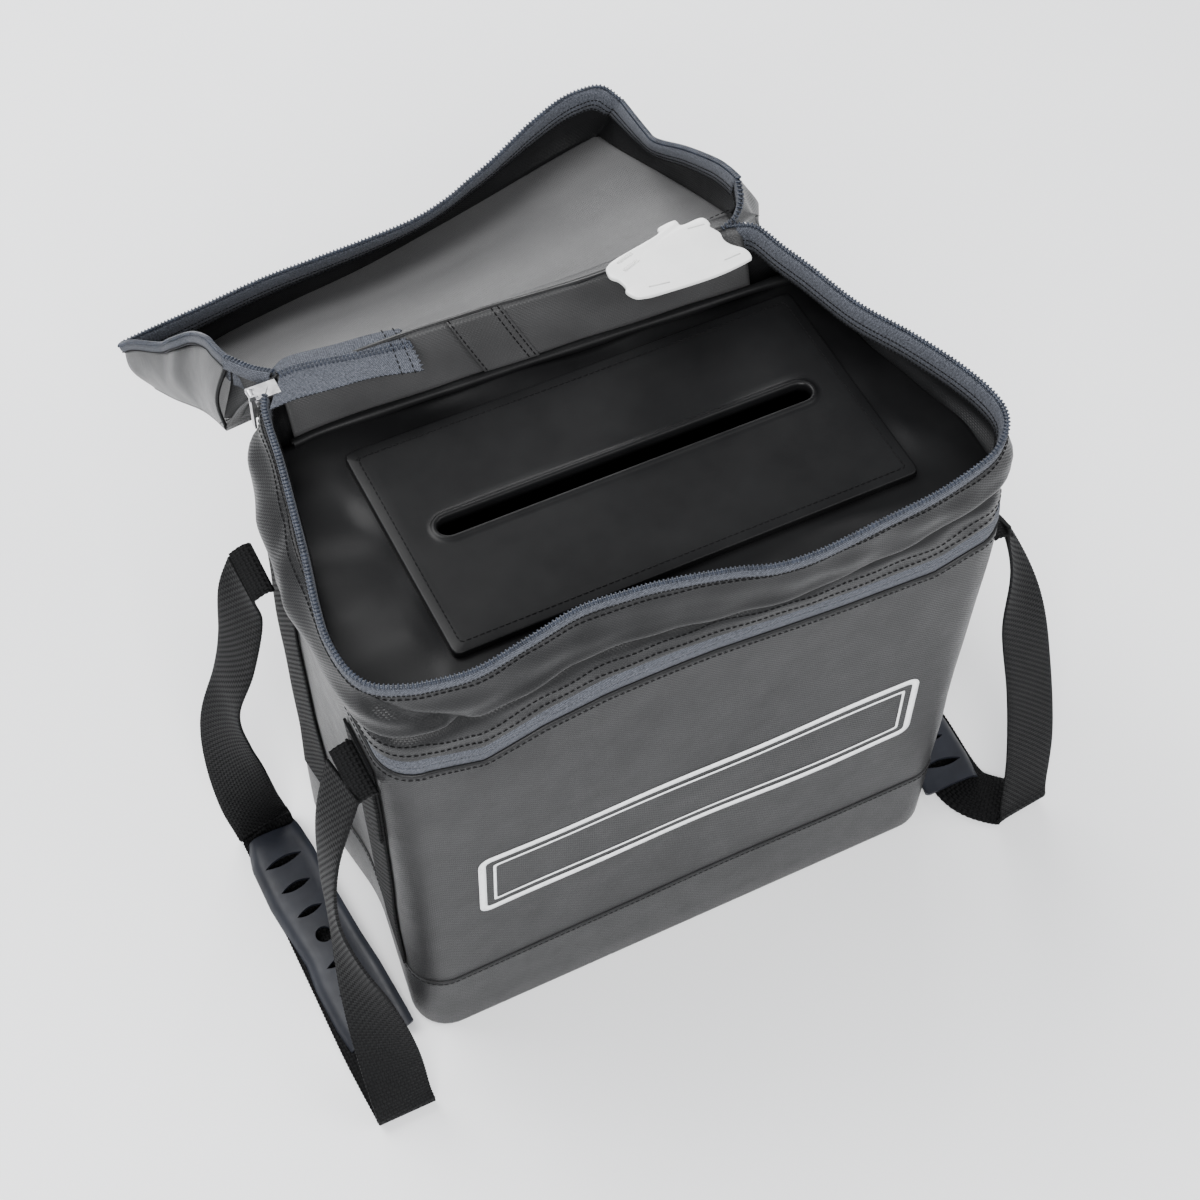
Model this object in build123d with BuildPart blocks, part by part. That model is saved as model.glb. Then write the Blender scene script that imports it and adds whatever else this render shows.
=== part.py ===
from build123d import *
from math import cos, radians, sin, tan
import os

os.makedirs("parts", exist_ok=True)

# Soft ballot box: a stiffened bag with a zipped collar that carries the slot, and a zipped lid
# folded back behind it. Millimetres, +Z up, +X right along the front, the front faces -Y.
# The origin is the centre of the footprint on the floor.

# Driving dimensions of the bag
bag_width = 400
bag_depth = 220
zip_height = 336            # middle of the lower zip
crease_rise = 44            # from the zip to the collar's valley, where the slot sheet is sewn in
belly_over_crease = 20
rim_rise = 84               # from the zip to the top edge of the collar
crest_drop = 2              # from the rim to the fold line of the lid's rear wall, at its middle
lid_rise = 50               # from the rim to the top of the closed lid
wall = 2.5                  # coated fabric with its stiffener
seat_gap = 0.2              # between sewn layers
overrun = 50                # spare length of every cut

# Outlines: front left, front right, middle right, rear right, rear left, middle left,
# as shares of half the bag's width and half its depth
base_outline_share = [(-1, -1), (1, -1), (0.92, 0), (1, 1), (-1, 1), (-0.92, 0)]
zip_outline_share = [(-1.03, -1), (1.02, -1), (1.02, 0), (0.985, 1), (-1, 1), (-1.035, 0)]
rim_outline_share = [(-1.055, -0.95), (0.99, -1.06), (0.9, 0.1), (0.76, 1.07), (-0.9, 1.07), (-1, 0.05)]
corner_radius = 24
side_radius = 120           # soft turn in the middle of each side
crease_depth = 8
belly_rise = 2
belly_share = 0.6           # how far the belly has gone from the zip's outline to the rim's

# Base band, board and seams
boot_height = 68
boot_thickness = 1.8
board_thickness = 3
board_margin = 1
seam_setback = 31           # front and rear panels end this far from the bag's front and rear
strip_width = 40
strip_thickness = 1.8
strip_below_zip = 20
strip_inset = 8             # from the panel's end to the strip's far edge
strap_end_height = 62
strap_end_below_zip = 42

# Zips
tape_thickness = 1.2
coil_width = 2.6
coil_height = 2.4
coil_gap = 0.4              # between the two rows of coil
lower_tape_exposed = 8      # tape that shows on each side of the lower coil
tape_sewn = 14              # tape hidden behind the fabric
lower_zip_setback = 22      # the lower zip stops this far from the bag's rear
lower_slider_park = 30      # from there to the middle of its slider, clear of the raised handle
rim_tape_width = 18
rim_tape_exposed = 6
rim_zip_setback = 21.7      # from the rim's rear edge
lid_zip_setback = 29.7
rim_gap = 0.6
rear_corner_gap = 0.6       # the fabric round the collar's rear corners, under the slider

# Slot sheet, board and cover
sheet_thickness = 2
sheet_setback = 25          # from the bag's rear to the sheet's rolled edge
roll_radius = 3.5
roll_margin = 10
plate_margin = 50           # from the bag's sides to the slot board
plate_setback = 31
plate_height = 6
cover_thickness = 1.5
slot_length = 245
slot_width = 13
slot_y = 4
slot_margin = 1

# Zip tail, slider and pull
tail_inset = 8              # from the rim's rear left corner to the tail's start
tail_length = 87
tail_width = 40
tail_off_crest = 0.7        # from the crest line to the middle of the tail
tail_lift = 0.6             # over the highest point of the crest below it
slider_length = 15
slider_width = 11
slider_plate = 1.4
slider_height = 7
slider_post = 4
pivot_radius = 0.8
pivot_play = 0.06
ear_thickness = 1.2
ear_play = 0.15
eye_wall = 1
pull_width = 5
pull_thickness = 1.4
pull_length = 28

# Seal holder
holder_length = 92
holder_width = 44
holder_inset = 72           # from the rim's rear right corner to the holder's middle
holder_off_crest = 18.7
holder_base = 2
holder_lift = 0.3           # over the crest
holder_cover = 7
holder_wall = 1.6
lug_radius = 9
window_length = 12
window_width = 4

# Inner strap on the rear wall
inner_strap_share = -0.2    # its place across the bag, as a share of half its width

# Lid folds
crest_tilt = 2.5            # degrees, the fold line climbs to the right
flap_fold = 143             # degrees, from folded back to standing
panel_fold = 70.5           # degrees, further fold of the lid's top on its rear wall
flap_left_inset = 22        # from the rim's rear corners to the rear wall's ends
flap_right_inset = 22
notch_clearance = 2

# Carrying handles
strap_width = 40
strap_thickness = 2
floor_gap = 0.5             # the strap's underside over the floor
strap_pivot_below_zip = 30
strap_end_gap = 0.3         # from the side strip to the strap's end
pivot_clearance = 2         # from the outermost strap end to the pivot line
tab_reach = 12              # from the pivot line to the fold where the strap turns down
tab_drop = 4
fold_gap = 0.65             # from the fold's line to the webbing on each side of it
handle_reach = 48           # farthest that a strap stands out from its pivot line
grip_length = 178
grip_half_width = 24
grip_wall = 3.4
grip_leg = 3.4
grip_rise = 14
hole_pitch = 22
hole_length = 22
hole_width = 8
round_hole_radius = 7.5

half_width = bag_width / 2
half_depth = bag_depth / 2
rear_right_share, rear_left_share = rim_outline_share[3:5]
crest_y = half_depth * rear_right_share[1]
rim_rear_right = half_width * rear_right_share[0]
rim_rear_left = half_width * rear_left_share[0]

# Heights and places that follow from them
crease_height = zip_height + crease_rise
belly_height = crease_height + belly_over_crease
rim_height = zip_height + rim_rise
crest_height = rim_height - crest_drop
lid_height = rim_height + lid_rise
strip_top = zip_height - strip_below_zip
strap_pivot_height = zip_height - strap_pivot_below_zip
seam_y = half_depth - seam_setback
lower_zip_rear = half_depth - lower_zip_setback
rim_zip_rear = crest_y - rim_zip_setback
lid_zip_rear = crest_y - lid_zip_setback
sheet_rear = half_depth - sheet_setback
plate_length = bag_width - 2 * plate_margin
plate_depth = bag_depth - 2 * plate_setback
tail_start = rim_rear_left + tail_inset
tail_y = crest_y - tail_off_crest
holder_x = rim_rear_right - holder_inset
holder_y = crest_y - holder_off_crest
inner_strap_x = half_width * inner_strap_share
flap_left = rim_rear_left + flap_left_inset
flap_right = rim_rear_right - flap_right_inset


def scaled(shares):
    return [(half_width * x, half_depth * y) for x, y in shares]


def between(first, second, share):
    pairs = zip(first, second)
    return [(a[0] + (b[0] - a[0]) * share, a[1] + (b[1] - a[1]) * share) for a, b in pairs]


base_outline = scaled(base_outline_share)
zip_outline = scaled(zip_outline_share)
rim_outline = scaled(rim_outline_share)
belly_outline = between(zip_outline, rim_outline, belly_share)
boot_outline = between(base_outline, zip_outline, boot_height / zip_height)

body_levels = [(0, base_outline, 0), (boot_height, boot_outline, 0), (zip_height, zip_outline, 0)]
boot_levels = body_levels[:2]
tape_top = zip_height + lower_tape_exposed + tape_sewn / 2
collar_levels = [
    (zip_height, zip_outline, 0),
    (tape_top, zip_outline, 0),
    (crease_height, zip_outline, -crease_depth),
    (belly_height, belly_outline, belly_rise),
    (rim_height, rim_outline, 0),
]
rim_levels = collar_levels[3:]
lid_levels = [(rim_height, rim_outline, 0), (lid_height, rim_outline, 0)]


# The bag's outline at a height, grown or shrunk by a length
def outline(points, growth, height):
    radii = [corner_radius, corner_radius, side_radius] * 2
    with BuildSketch(Plane.XY.offset(height)) as face:
        with BuildLine():
            FilletPolyline(*points, radius=radii, close=True)
        make_face()
        if growth:
            offset(amount=growth, kind=Kind.INTERSECTION, mode=Mode.REPLACE)
    return face.sketch


# A ruled solid through the outlines of some levels
def outline_loft(levels, growth, mode=Mode.ADD):
    faces = [outline(points, rise + growth, height).face() for height, points, rise in levels]
    loft(sections=faces, ruled=True, mode=mode)


# An upright plate with the bag's outline
def outline_plate(points, growth, height, thickness, mode=Mode.ADD):
    extrude(outline(points, growth, height), amount=thickness, mode=mode)


# A sheet that follows the levels between an outer and an inner growth
def skin(levels, outer, inner):
    outline_loft(levels, outer)
    outline_loft(levels, inner, Mode.SUBTRACT)


# Cut the active part with a box from one corner to the other
def box_cut(low, high, mode=Mode.INTERSECT):
    size = [b - a for a, b in zip(low, high)]
    centre = [(a + b) / 2 for a, b in zip(low, high)]
    with Locations(tuple(centre)):
        Box(*size, mode=mode)


wide = half_width + overrun
deep = half_depth + overrun
panel_top = zip_height - lower_tape_exposed
tape_outer = -wall - seat_gap
tape_inner = tape_outer - tape_thickness
coil_inner = tape_inner - coil_width


def finish(part, name):
    part.label = name
    export_step(part, "parts/" + name + ".step")


# Base band: a shallow tray of the same fabric, sewn round the foot of the walls
with BuildPart() as base_boot:
    outline_loft(boot_levels, boot_thickness)
    outline_loft(boot_levels, seat_gap, Mode.SUBTRACT)
    outline_plate(base_outline, boot_thickness, 0, boot_thickness)
finish(base_boot.part, "base_boot")

# Stiffening board on the floor of the bag
with BuildPart() as base_board:
    outline_plate(base_outline, -wall - board_margin, boot_thickness, board_thickness)
finish(base_board.part, "base_board")

# Four wall panels: the front and rear ones wrap the corners and end under the webbing strips
panel_regions = {
    "front_panel": ((-wide, -deep, boot_thickness), (wide, -seam_y, panel_top)),
    "rear_panel": ((-wide, seam_y, boot_thickness), (wide, deep, panel_top)),
    "left_panel": ((-wide, -seam_y, boot_thickness), (0, seam_y, panel_top)),
    "right_panel": ((0, -seam_y, boot_thickness), (wide, seam_y, panel_top)),
}
for name, (low, high) in panel_regions.items():
    with BuildPart() as panel:
        skin(body_levels, 0, -wall)
        box_cut(low, high)
    finish(panel.part, name)

# The rear panel's top is the fabric hinge of the collar
with BuildPart() as rear_hinge_band:
    skin(body_levels, 0, -wall)
    box_cut((-wide, lower_zip_rear, panel_top), (wide, deep, zip_height - coil_gap / 2))
finish(rear_hinge_band.part, "rear_hinge_band")

# Webbing strips that cover the side seams
strip_regions = {
    "left_front_strip": (-wide, 0, -seam_y - strip_inset),
    "right_front_strip": (0, wide, -seam_y - strip_inset),
    "left_rear_strip": (-wide, 0, seam_y + strip_inset - strip_width),
    "right_rear_strip": (0, wide, seam_y + strip_inset - strip_width),
}
strip_outer = seat_gap + strip_thickness
for name, (left, right, front) in strip_regions.items():
    with BuildPart() as strip:
        skin(body_levels, strip_outer, seat_gap)
        foot = boot_height + seat_gap
        box_cut((left, front, foot), (right, front + strip_width, strip_top))
    finish(strip.part, name)

# Cut ends of the webbing, doubled over the front strips
for name in ("left_front_strip", "right_front_strip"):
    left, right, front = strip_regions[name]
    with BuildPart() as strap_end:
        skin(body_levels, strip_outer + seat_gap + strip_thickness, strip_outer + seat_gap)
        top = zip_height - strap_end_below_zip
        box_cut((left, front, top - strap_end_height), (right, front + strip_width, top))
    finish(strap_end.part, name.replace("strip", "strap_end"))

# Lower zip, bag half: tape inside the wall, coil on its inner face
with BuildPart() as lower_tape:
    skin(body_levels, tape_outer, tape_inner)
    box_cut((-wide, -deep, panel_top - tape_sewn), (wide, lower_zip_rear, zip_height - coil_gap / 2))
finish(lower_tape.part, "lower_zip_tape")

with BuildPart() as lower_coil:
    skin(body_levels, tape_inner, coil_inner)
    foot = zip_height - coil_gap / 2 - coil_height
    box_cut((-wide, -deep, foot), (wide, lower_zip_rear, zip_height - coil_gap / 2))
finish(lower_coil.part, "lower_zip_coil")

# Lower zip, collar half
with BuildPart() as collar_lower_tape:
    skin(collar_levels[:2], tape_outer, tape_inner)
    box_cut((-wide, -deep, zip_height + coil_gap / 2), (wide, lower_zip_rear, tape_top))
finish(collar_lower_tape.part, "collar_lower_tape")

with BuildPart() as collar_lower_coil:
    skin(collar_levels[:2], tape_inner, coil_inner)
    top = zip_height + coil_gap / 2 + coil_height
    box_cut((-wide, -deep, zip_height + coil_gap / 2), (wide, lower_zip_rear, top))
finish(collar_lower_coil.part, "collar_lower_coil")


crest_way = (cos(radians(crest_tilt)), 0, sin(radians(crest_tilt)))


# Height of the crest line over a place across the bag
def crest_at(x):
    middle = (flap_left + flap_right) / 2
    return crest_height + (x - middle) * tan(radians(crest_tilt))


# Heights of the zip tail that lies over the crest, and of its slider
tail_end = tail_start + tail_length
tail_z = crest_at(tail_end) + tail_lift
slider_z = tail_z + tape_thickness / 2 - slider_height / 2
rear_corner_top = slider_z - rear_corner_gap

# Collar: front and sides in one band, the rear wall up to the crest
collar_top = rim_height - rim_tape_exposed
with BuildPart() as collar_band:
    skin(collar_levels, 0, -wall)
    box_cut((-wide, -deep, zip_height + lower_tape_exposed), (wide, lower_zip_rear, collar_top))
finish(collar_band.part, "collar_band")

with BuildPart() as collar_rear:
    skin(collar_levels + [(lid_height, rim_outline, 0)], 0, -wall)
    box_cut((-wide, lower_zip_rear, zip_height + coil_gap / 2), (wide, deep, lid_height))
    with BuildSketch(Plane.XZ):
        Polygon(
            (-wide, rear_corner_top),
            (flap_left, rear_corner_top),
            (flap_left, crest_at(flap_left)),
            (flap_right, crest_at(flap_right)),
            (flap_right, rear_corner_top),
            (wide, rear_corner_top),
            (wide, lid_height + overrun),
            (-wide, lid_height + overrun),
            align=None,
        )
    extrude(amount=-deep, mode=Mode.SUBTRACT)
finish(collar_rear.part, "collar_rear")

# Top zip, collar half: the coil stands on the tape's edge, along the rim
rim_tape_top = rim_height - coil_gap
with BuildPart() as rim_tape:
    skin(rim_levels, tape_outer, tape_inner)
    box_cut((-wide, -deep, rim_height - rim_tape_width), (wide, rim_zip_rear, rim_tape_top))
finish(rim_tape.part, "rim_zip_tape")

coil_outer_edge = (tape_outer + tape_inner + coil_width) / 2
coil_inner_edge = coil_outer_edge - coil_width
with BuildPart() as rim_coil:
    for edge, mode in ((coil_outer_edge, Mode.ADD), (coil_inner_edge, Mode.SUBTRACT)):
        outline_plate(rim_outline, edge, rim_tape_top, coil_height, mode)
    box_cut((-wide, -deep, rim_tape_top), (wide, rim_zip_rear, rim_height + overrun))
finish(rim_coil.part, "rim_zip_coil")

# Slot sheet sewn into the crease, with a rolled rear edge
sheet_growth = -crease_depth - wall - seat_gap
sheet_bottom = crease_height - sheet_thickness
with BuildPart() as slot_sheet:
    outline_plate(zip_outline, sheet_growth, sheet_bottom, sheet_thickness)
    box_cut((-wide, -deep, sheet_bottom), (wide, sheet_rear, crease_height))
    with Locations((0, sheet_rear, crease_height - sheet_thickness / 2)):
        roll_length = bag_width + 2 * (sheet_growth - roll_margin)
        Cylinder(roll_radius, roll_length, rotation=(0, 90, 0))
    with BuildSketch(Plane.XY.offset(sheet_bottom)):
        with Locations((0, slot_y)):
            SlotOverall(slot_length + 2 * slot_margin, slot_width + 2 * slot_margin)
    extrude(amount=sheet_thickness, mode=Mode.SUBTRACT)
finish(slot_sheet.part, "slot_sheet")

# Slot board wrapped by its cover
with BuildPart() as slot_board:
    with BuildSketch(Plane.XY.offset(crease_height)):
        Rectangle(plate_length - 2 * cover_thickness, plate_depth - 2 * cover_thickness)
        with Locations((0, slot_y)):
            SlotOverall(slot_length + 2 * slot_margin, slot_width + 2 * slot_margin, mode=Mode.SUBTRACT)
    extrude(amount=plate_height - cover_thickness)
finish(slot_board.part, "slot_board")

with BuildPart() as slot_cover:
    with BuildSketch(Plane.XY.offset(crease_height)):
        Rectangle(plate_length, plate_depth)
    extrude(amount=plate_height)
    fillet(slot_cover.edges().group_by(Axis.Z)[-1], cover_thickness / 2)
    with BuildSketch(Plane.XY.offset(crease_height)):
        Rectangle(plate_length - 2 * cover_thickness, plate_depth - 2 * cover_thickness)
    extrude(amount=plate_height - cover_thickness, mode=Mode.SUBTRACT)
    with BuildSketch(Plane.XY.offset(crease_height)):
        with Locations((0, slot_y)):
            SlotOverall(slot_length, slot_width)
    extrude(amount=plate_height, mode=Mode.SUBTRACT)
finish(slot_cover.part, "slot_cover")

# Webbing sewn to the inside of the rear wall
with BuildPart() as inner_strap:
    skin(rim_levels, tape_outer, tape_outer - strip_thickness)
    half_strap = strip_width / 2
    top = crest_at(inner_strap_x - half_strap)
    low_corner = (inner_strap_x - half_strap, 0, belly_height - crease_depth)
    box_cut(low_corner, (inner_strap_x + half_strap, deep, top))
finish(inner_strap.part, "inner_strap")

# Closed tail of the top zip, lying over the crest at the rear left
tail_middle = (tail_start + tail_end) / 2
with BuildPart() as zip_tail:
    with Locations((tail_middle, tail_y, tail_z + tape_thickness / 2)):
        Box(tail_length, tail_width, tape_thickness)
    with Locations((tail_middle, tail_y, tail_z + tape_thickness + coil_height / 2)):
        Box(tail_length, 2 * coil_width, coil_height)
finish(zip_tail.part, "zip_tail")


eye_radius = pivot_radius + pivot_play + eye_wall
pivot_out = eye_radius + seat_gap       # from the slider's end to the pull's pivot


# A zip slider: two plates and a post, with two ears that carry the pull's pivot.
# The plane's X runs along the zip and its Z points out of the tape.
def slider(plane):
    top = slider_height - slider_plate / 2
    for height in (slider_plate / 2, top):
        with Locations(plane * Location((0, 0, height))):
            Box(slider_length, slider_width, slider_plate)
    with Locations(plane * Location((-slider_length / 2 + slider_post / 2, 0, slider_height / 2))):
        Box(slider_post, slider_post, slider_height)
    ear_length = pivot_out + eye_wall + pivot_radius + slider_plate
    ear_x = -slider_length / 2 + slider_plate - ear_length / 2
    ear_y = pull_width / 2 + ear_play + ear_thickness / 2
    for side in (-1, 1):
        with Locations(plane * Location((ear_x, side * ear_y, slider_height))):
            Box(ear_length, ear_thickness, 2 * eye_wall + 2 * pivot_radius)
    with Locations(plane * Location((-slider_length / 2 - pivot_out, 0, slider_height), (90, 0, 0))):
        Cylinder(pivot_radius, 2 * ear_y)


# A pull that hangs from its eye; the plane sits at the pivot, X across the pull and Z up
def pull(plane):
    stem_start = pivot_radius + pivot_play + eye_wall / 2
    with Locations(plane * Location((0, 0, 0), (0, 90, 0))):
        Cylinder(eye_radius, pull_width)
    with Locations(plane * Location((0, 0, -(stem_start + pull_length) / 2))):
        Box(pull_width, pull_thickness, pull_length - stem_start)
    with Locations(plane * Location((0, 0, 0), (0, 90, 0))):
        Cylinder(pivot_radius + pivot_play, pull_width + overrun, mode=Mode.SUBTRACT)


slider_x = tail_start - seat_gap - slider_length / 2
slider_plane = Plane(origin=(slider_x, tail_y, slider_z))
with BuildPart() as zip_slider:
    slider(slider_plane)
finish(zip_slider.part, "zip_slider")

top_pivot = Vector(slider_x - slider_length / 2 - pivot_out, tail_y, slider_z + slider_height)
with BuildPart() as zip_pull:
    pull(Plane(origin=top_pivot, x_dir=(0, 1, 0), z_dir=(0, 0, 1)))
finish(zip_pull.part, "zip_pull")

# Slider of the lower zip, parked at its rear end on the right, outside the tape
lower_slider_y = lower_zip_rear - lower_slider_park
side_middle = Vector(*zip_outline[2], 0)
side_rear = Vector(*zip_outline[3], 0)
side_along = (side_rear - side_middle).normalized()
side_out = Vector(side_along.Y, -side_along.X, 0)
side_share = (lower_slider_y - side_middle.Y) / (side_rear.Y - side_middle.Y)
side_point = side_middle + (side_rear - side_middle) * side_share + side_out * (tape_outer + seat_gap)
lower_slider_origin = side_point + Vector(0, 0, zip_height)
with BuildPart() as lower_slider:
    slider(Plane(origin=lower_slider_origin, x_dir=side_along, z_dir=side_out))
finish(lower_slider.part, "lower_slider")

lower_pivot = lower_slider_origin + side_out * slider_height - side_along * (slider_length / 2 + pivot_out)
with BuildPart() as lower_pull:
    pull(Plane(origin=lower_pivot, x_dir=(0, 0, 1), z_dir=side_along))
finish(lower_pull.part, "lower_pull")

# Seal holder at the rear right: a base plate with round lugs, and a hollow cover
holder_seat = Vector(holder_x, holder_y, crest_at(holder_x) + holder_lift)
seat_plane = Plane(origin=holder_seat, x_dir=crest_way, z_dir=(-crest_way[2], 0, crest_way[0]))
holder_plane = seat_plane.offset(holder_base)
holder_outline_share = [(-0.5, -0.1), (-0.36, -0.5), (0.5, -0.3), (0.42, 0.32), (-0.3, 0.34)]


def holder_outline(growth):
    points = [(holder_length * x, holder_width * y) for x, y in holder_outline_share]
    with BuildSketch(holder_plane) as face:
        with BuildLine():
            FilletPolyline(*points, radius=holder_cover / 2, close=True)
        make_face()
        if growth:
            offset(amount=growth, kind=Kind.INTERSECTION, mode=Mode.REPLACE)
    return face.sketch


with BuildPart() as seal_base:
    with BuildSketch(seat_plane):
        RectangleRounded(holder_length, holder_width / 2, lug_radius)
        for step in (-1, 1):
            with Locations((step * holder_length / 6, holder_width / 2 - lug_radius)):
                Circle(lug_radius)
    extrude(amount=holder_base)
finish(seal_base.part, "seal_holder_base")

with BuildPart() as seal_cover:
    extrude(holder_outline(0), amount=holder_cover)
    fillet(seal_cover.faces().sort_by(Axis.Z)[-1].edges(), holder_wall)
    extrude(holder_outline(-holder_wall), amount=holder_cover - holder_wall, mode=Mode.SUBTRACT)
    with BuildSketch(holder_plane):
        for step in (-1, 1):
            with Locations((-holder_length / 3, step * window_width)):
                Rectangle(window_length, window_width)
    extrude(amount=holder_cover, mode=Mode.SUBTRACT)
finish(seal_cover.part, "seal_holder_cover")

# The lid is drawn closed, then folded back by its two fold lines
flap_middle = (flap_left + flap_right) / 2
crest_axis = Axis((flap_middle, crest_y, crest_height), crest_way)
panel_bottom = lid_height - wall
panel_axis = Axis((flap_middle, crest_y, panel_bottom - seat_gap / 2), (1, 0, 0))


def fold_flap(part):
    return part.rotate(crest_axis, -flap_fold)


def fold_lid(part):
    return fold_flap(part.rotate(panel_axis, -panel_fold))


# Rear wall of the lid, notched where the zip tail and the seal holder cross the crest
tail_notch = tail_y + tail_width / 2 - crest_y + notch_clearance
holder_rear = holder_y + holder_width / 2 - crest_y
holder_notch = holder_base + holder_cover + holder_rear + notch_clearance
holder_left = holder_x - holder_length / 2 - notch_clearance
tail_right = tail_end + notch_clearance
with BuildPart() as rear_flap:
    with BuildSketch(Plane.XZ.offset(-crest_y)):
        Polygon(
            (flap_left, crest_at(flap_left) + tail_notch),
            (tail_right, crest_at(tail_right) + tail_notch),
            (tail_right, crest_at(tail_right) + seat_gap),
            (holder_left, crest_at(holder_left) + seat_gap),
            (holder_left, crest_at(holder_left) + holder_notch),
            (flap_right, crest_at(flap_right) + holder_notch),
            (flap_right, panel_bottom - seat_gap),
            (flap_left, panel_bottom - seat_gap),
            align=None,
        )
    extrude(amount=wall)
finish(fold_flap(rear_flap.part), "rear_flap")

with BuildPart() as lid_panel:
    outline_plate(rim_outline, 0, panel_bottom, wall)
finish(fold_lid(lid_panel.part), "lid_panel")

# Lid wall on the front, the sides and round the rear corners
lid_coil_bottom = rim_tape_top + coil_height + rim_gap
lid_tape_bottom = lid_coil_bottom + coil_height
lid_wall_bottom = lid_tape_bottom + rim_tape_exposed
with BuildPart() as lid_wall:
    skin(lid_levels, 0, -wall)
    box_cut((-wide, -deep, lid_wall_bottom), (wide, deep, panel_bottom))
    flap_space = ((flap_left - seat_gap, rim_zip_rear, 0), (flap_right + seat_gap, deep, lid_height))
    box_cut(*flap_space, mode=Mode.SUBTRACT)
finish(fold_lid(lid_wall.part), "lid_wall")

with BuildPart() as lid_tape:
    skin(lid_levels, tape_outer, tape_inner)
    top = lid_tape_bottom + rim_tape_width
    box_cut((-wide, -deep, lid_tape_bottom), (wide, lid_zip_rear, top))
finish(fold_lid(lid_tape.part), "lid_zip_tape")

with BuildPart() as lid_coil:
    for edge, mode in ((coil_outer_edge, Mode.ADD), (coil_inner_edge, Mode.SUBTRACT)):
        outline_plate(rim_outline, edge, lid_coil_bottom, coil_height, mode)
    box_cut((-wide, -deep, lid_coil_bottom), (wide, lid_zip_rear, lid_height))
finish(fold_lid(lid_coil.part), "lid_zip_coil")

# Half the bag's width, with the side strip on it, at a place along the side
def side_at(side, y, height):
    middle, corner = (2 if side > 0 else 5), ((3 if y > 0 else 1) if side > 0 else (4 if y > 0 else 0))
    along = abs(y) / half_depth
    widths = []
    for points in (base_outline, zip_outline):
        widths.append(side * (points[middle][0] + (points[corner][0] - points[middle][0]) * along))
    return widths[0] + (widths[1] - widths[0]) * height / zip_height + strip_outer


# Handle straps: flat ribbons through sections, each a place, the way the webbing runs there and
# the way its width points. Places are shares of the reach from the pivot line, of half the
# depth and of the pivot line's height over the strap on the floor.
strap_floor = floor_gap + strap_thickness / 2
strap_rear_share = 0.745
strap_front_share = -0.69
left_strap_shares = [
    ((0.54, 0.764, 0.908), (0.4, 0, -0.9), (0.2, 1, 0)),
    ((0.75, 0.782, 0.77), (0.2, 0, -1), (0.7, 0.7, 0)),
    ((0.875, 0.782, 0.586), (0.1, 0, -1), (1, 0.25, 0)),
    ((0.917, 0.782, 0.389), (-0.05, 0, -1), (1, 0, 0)),
    ((0.833, 0.8, 0.192), (-0.15, 0, -1), (1, 0, 0)),
    ((0.646, 0.827, 0.061), (-0.1, -0.2, -1), (1, 0, 0)),
    ((0.563, 0.782, 0.015), (0, -0.9, -0.6), (1, 0, 0)),
    ((0.52, 0.727, 0), (0, -1, 0), (1, 0, 0)),
    ((0.52, -0.927, 0), (0, -1, 0), (1, 0, 0)),
    ((0.48, -1.327, 0), (0, -1, 0), (1, 0, 0)),
    ((0.48, -1.4, 0.008), (0, -0.8, 0.7), (1, 0, 0)),
    ((0.48, -1.427, 0.028), (0, 0, 1), (1, 0, 0)),
    ((0.5, -1.382, 0.067), (0, 0.4, 1), (1, 0, 0)),
    ((0.563, -1.191, 0.29), (0.05, 0.3, 1), (1, 0, 0)),
    ((0.688, -1.018, 0.491), (0.1, 0.3, 1), (0.9, 0.4, 0)),
    ((0.729, -0.882, 0.681), (0, 0.25, 1), (0.7, 0.7, 0)),
    ((0.542, -0.764, 0.875), (-0.3, 0.2, 1), (0.35, 0.93, 0)),
]
right_strap_shares = [
    ((0.5, 0.764, 0.901), (0.4, 0, -0.9), (0.2, 1, 0)),
    ((0.708, 0.782, 0.77), (0.2, 0, -1), (0.7, 0.7, 0)),
    ((0.833, 0.782, 0.586), (0.1, 0, -1), (1, 0.25, 0)),
    ((0.833, 0.782, 0.389), (-0.05, 0, -1), (1, 0, 0)),
    ((0.75, 0.8, 0.192), (-0.15, 0, -1), (1, 0, 0)),
    ((0.604, 0.827, 0.061), (-0.1, -0.2, -1), (1, 0, 0)),
    ((0.52, 0.782, 0.015), (0, -0.9, -0.6), (1, 0, 0)),
    ((0.48, 0.727, 0), (0, -1, 0), (1, 0, 0)),
    ((0.48, -0.927, 0), (0, -1, 0), (1, 0, 0)),
    ((0.917, -1.164, 0), (0.3, -1, 0), (1, 0.1, 0)),
    ((1, -1.236, 0.008), (0.2, -0.8, 0.7), (1, 0.1, 0)),
    ((1.02, -1.264, 0.031), (0, 0, 1), (1, 0.1, 0)),
    ((1.02, -1.236, 0.074), (0, 0.2, 1), (1, 0.1, 0)),
    ((1, -1.164, 0.258), (-0.1, 0.2, 1), (1, 0.1, 0)),
    ((0.854, -1.055, 0.488), (-0.1, 0.2, 1), (1, 0.2, 0)),
    ((0.646, -0.945, 0.698), (-0.2, 0.2, 1), (0.95, 0.3, 0)),
    ((0.417, -0.818, 0.895), (-0.3, 0.2, 1), (0.5, 0.85, 0)),
]


# A strap through its sections, on the left or the right; lengths run outwards from the bag
def strap(sections, side):
    faces = []
    for place, run, across in sections:
        origin = Vector(side * place[0], place[1], place[2])
        run_way = Vector(side * run[0], run[1], run[2]).normalized()
        across_way = Vector(side * across[0], across[1], across[2]).normalized()
        run_way = (run_way - across_way * run_way.dot(across_way)).normalized()
        with BuildSketch(Plane(origin=origin, x_dir=across_way, z_dir=run_way)) as section:
            Rectangle(strap_width, strap_thickness)
        faces.append(section.sketch.face())
    for pair in zip(faces, faces[1:]):
        loft(sections=list(pair), ruled=True)


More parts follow.
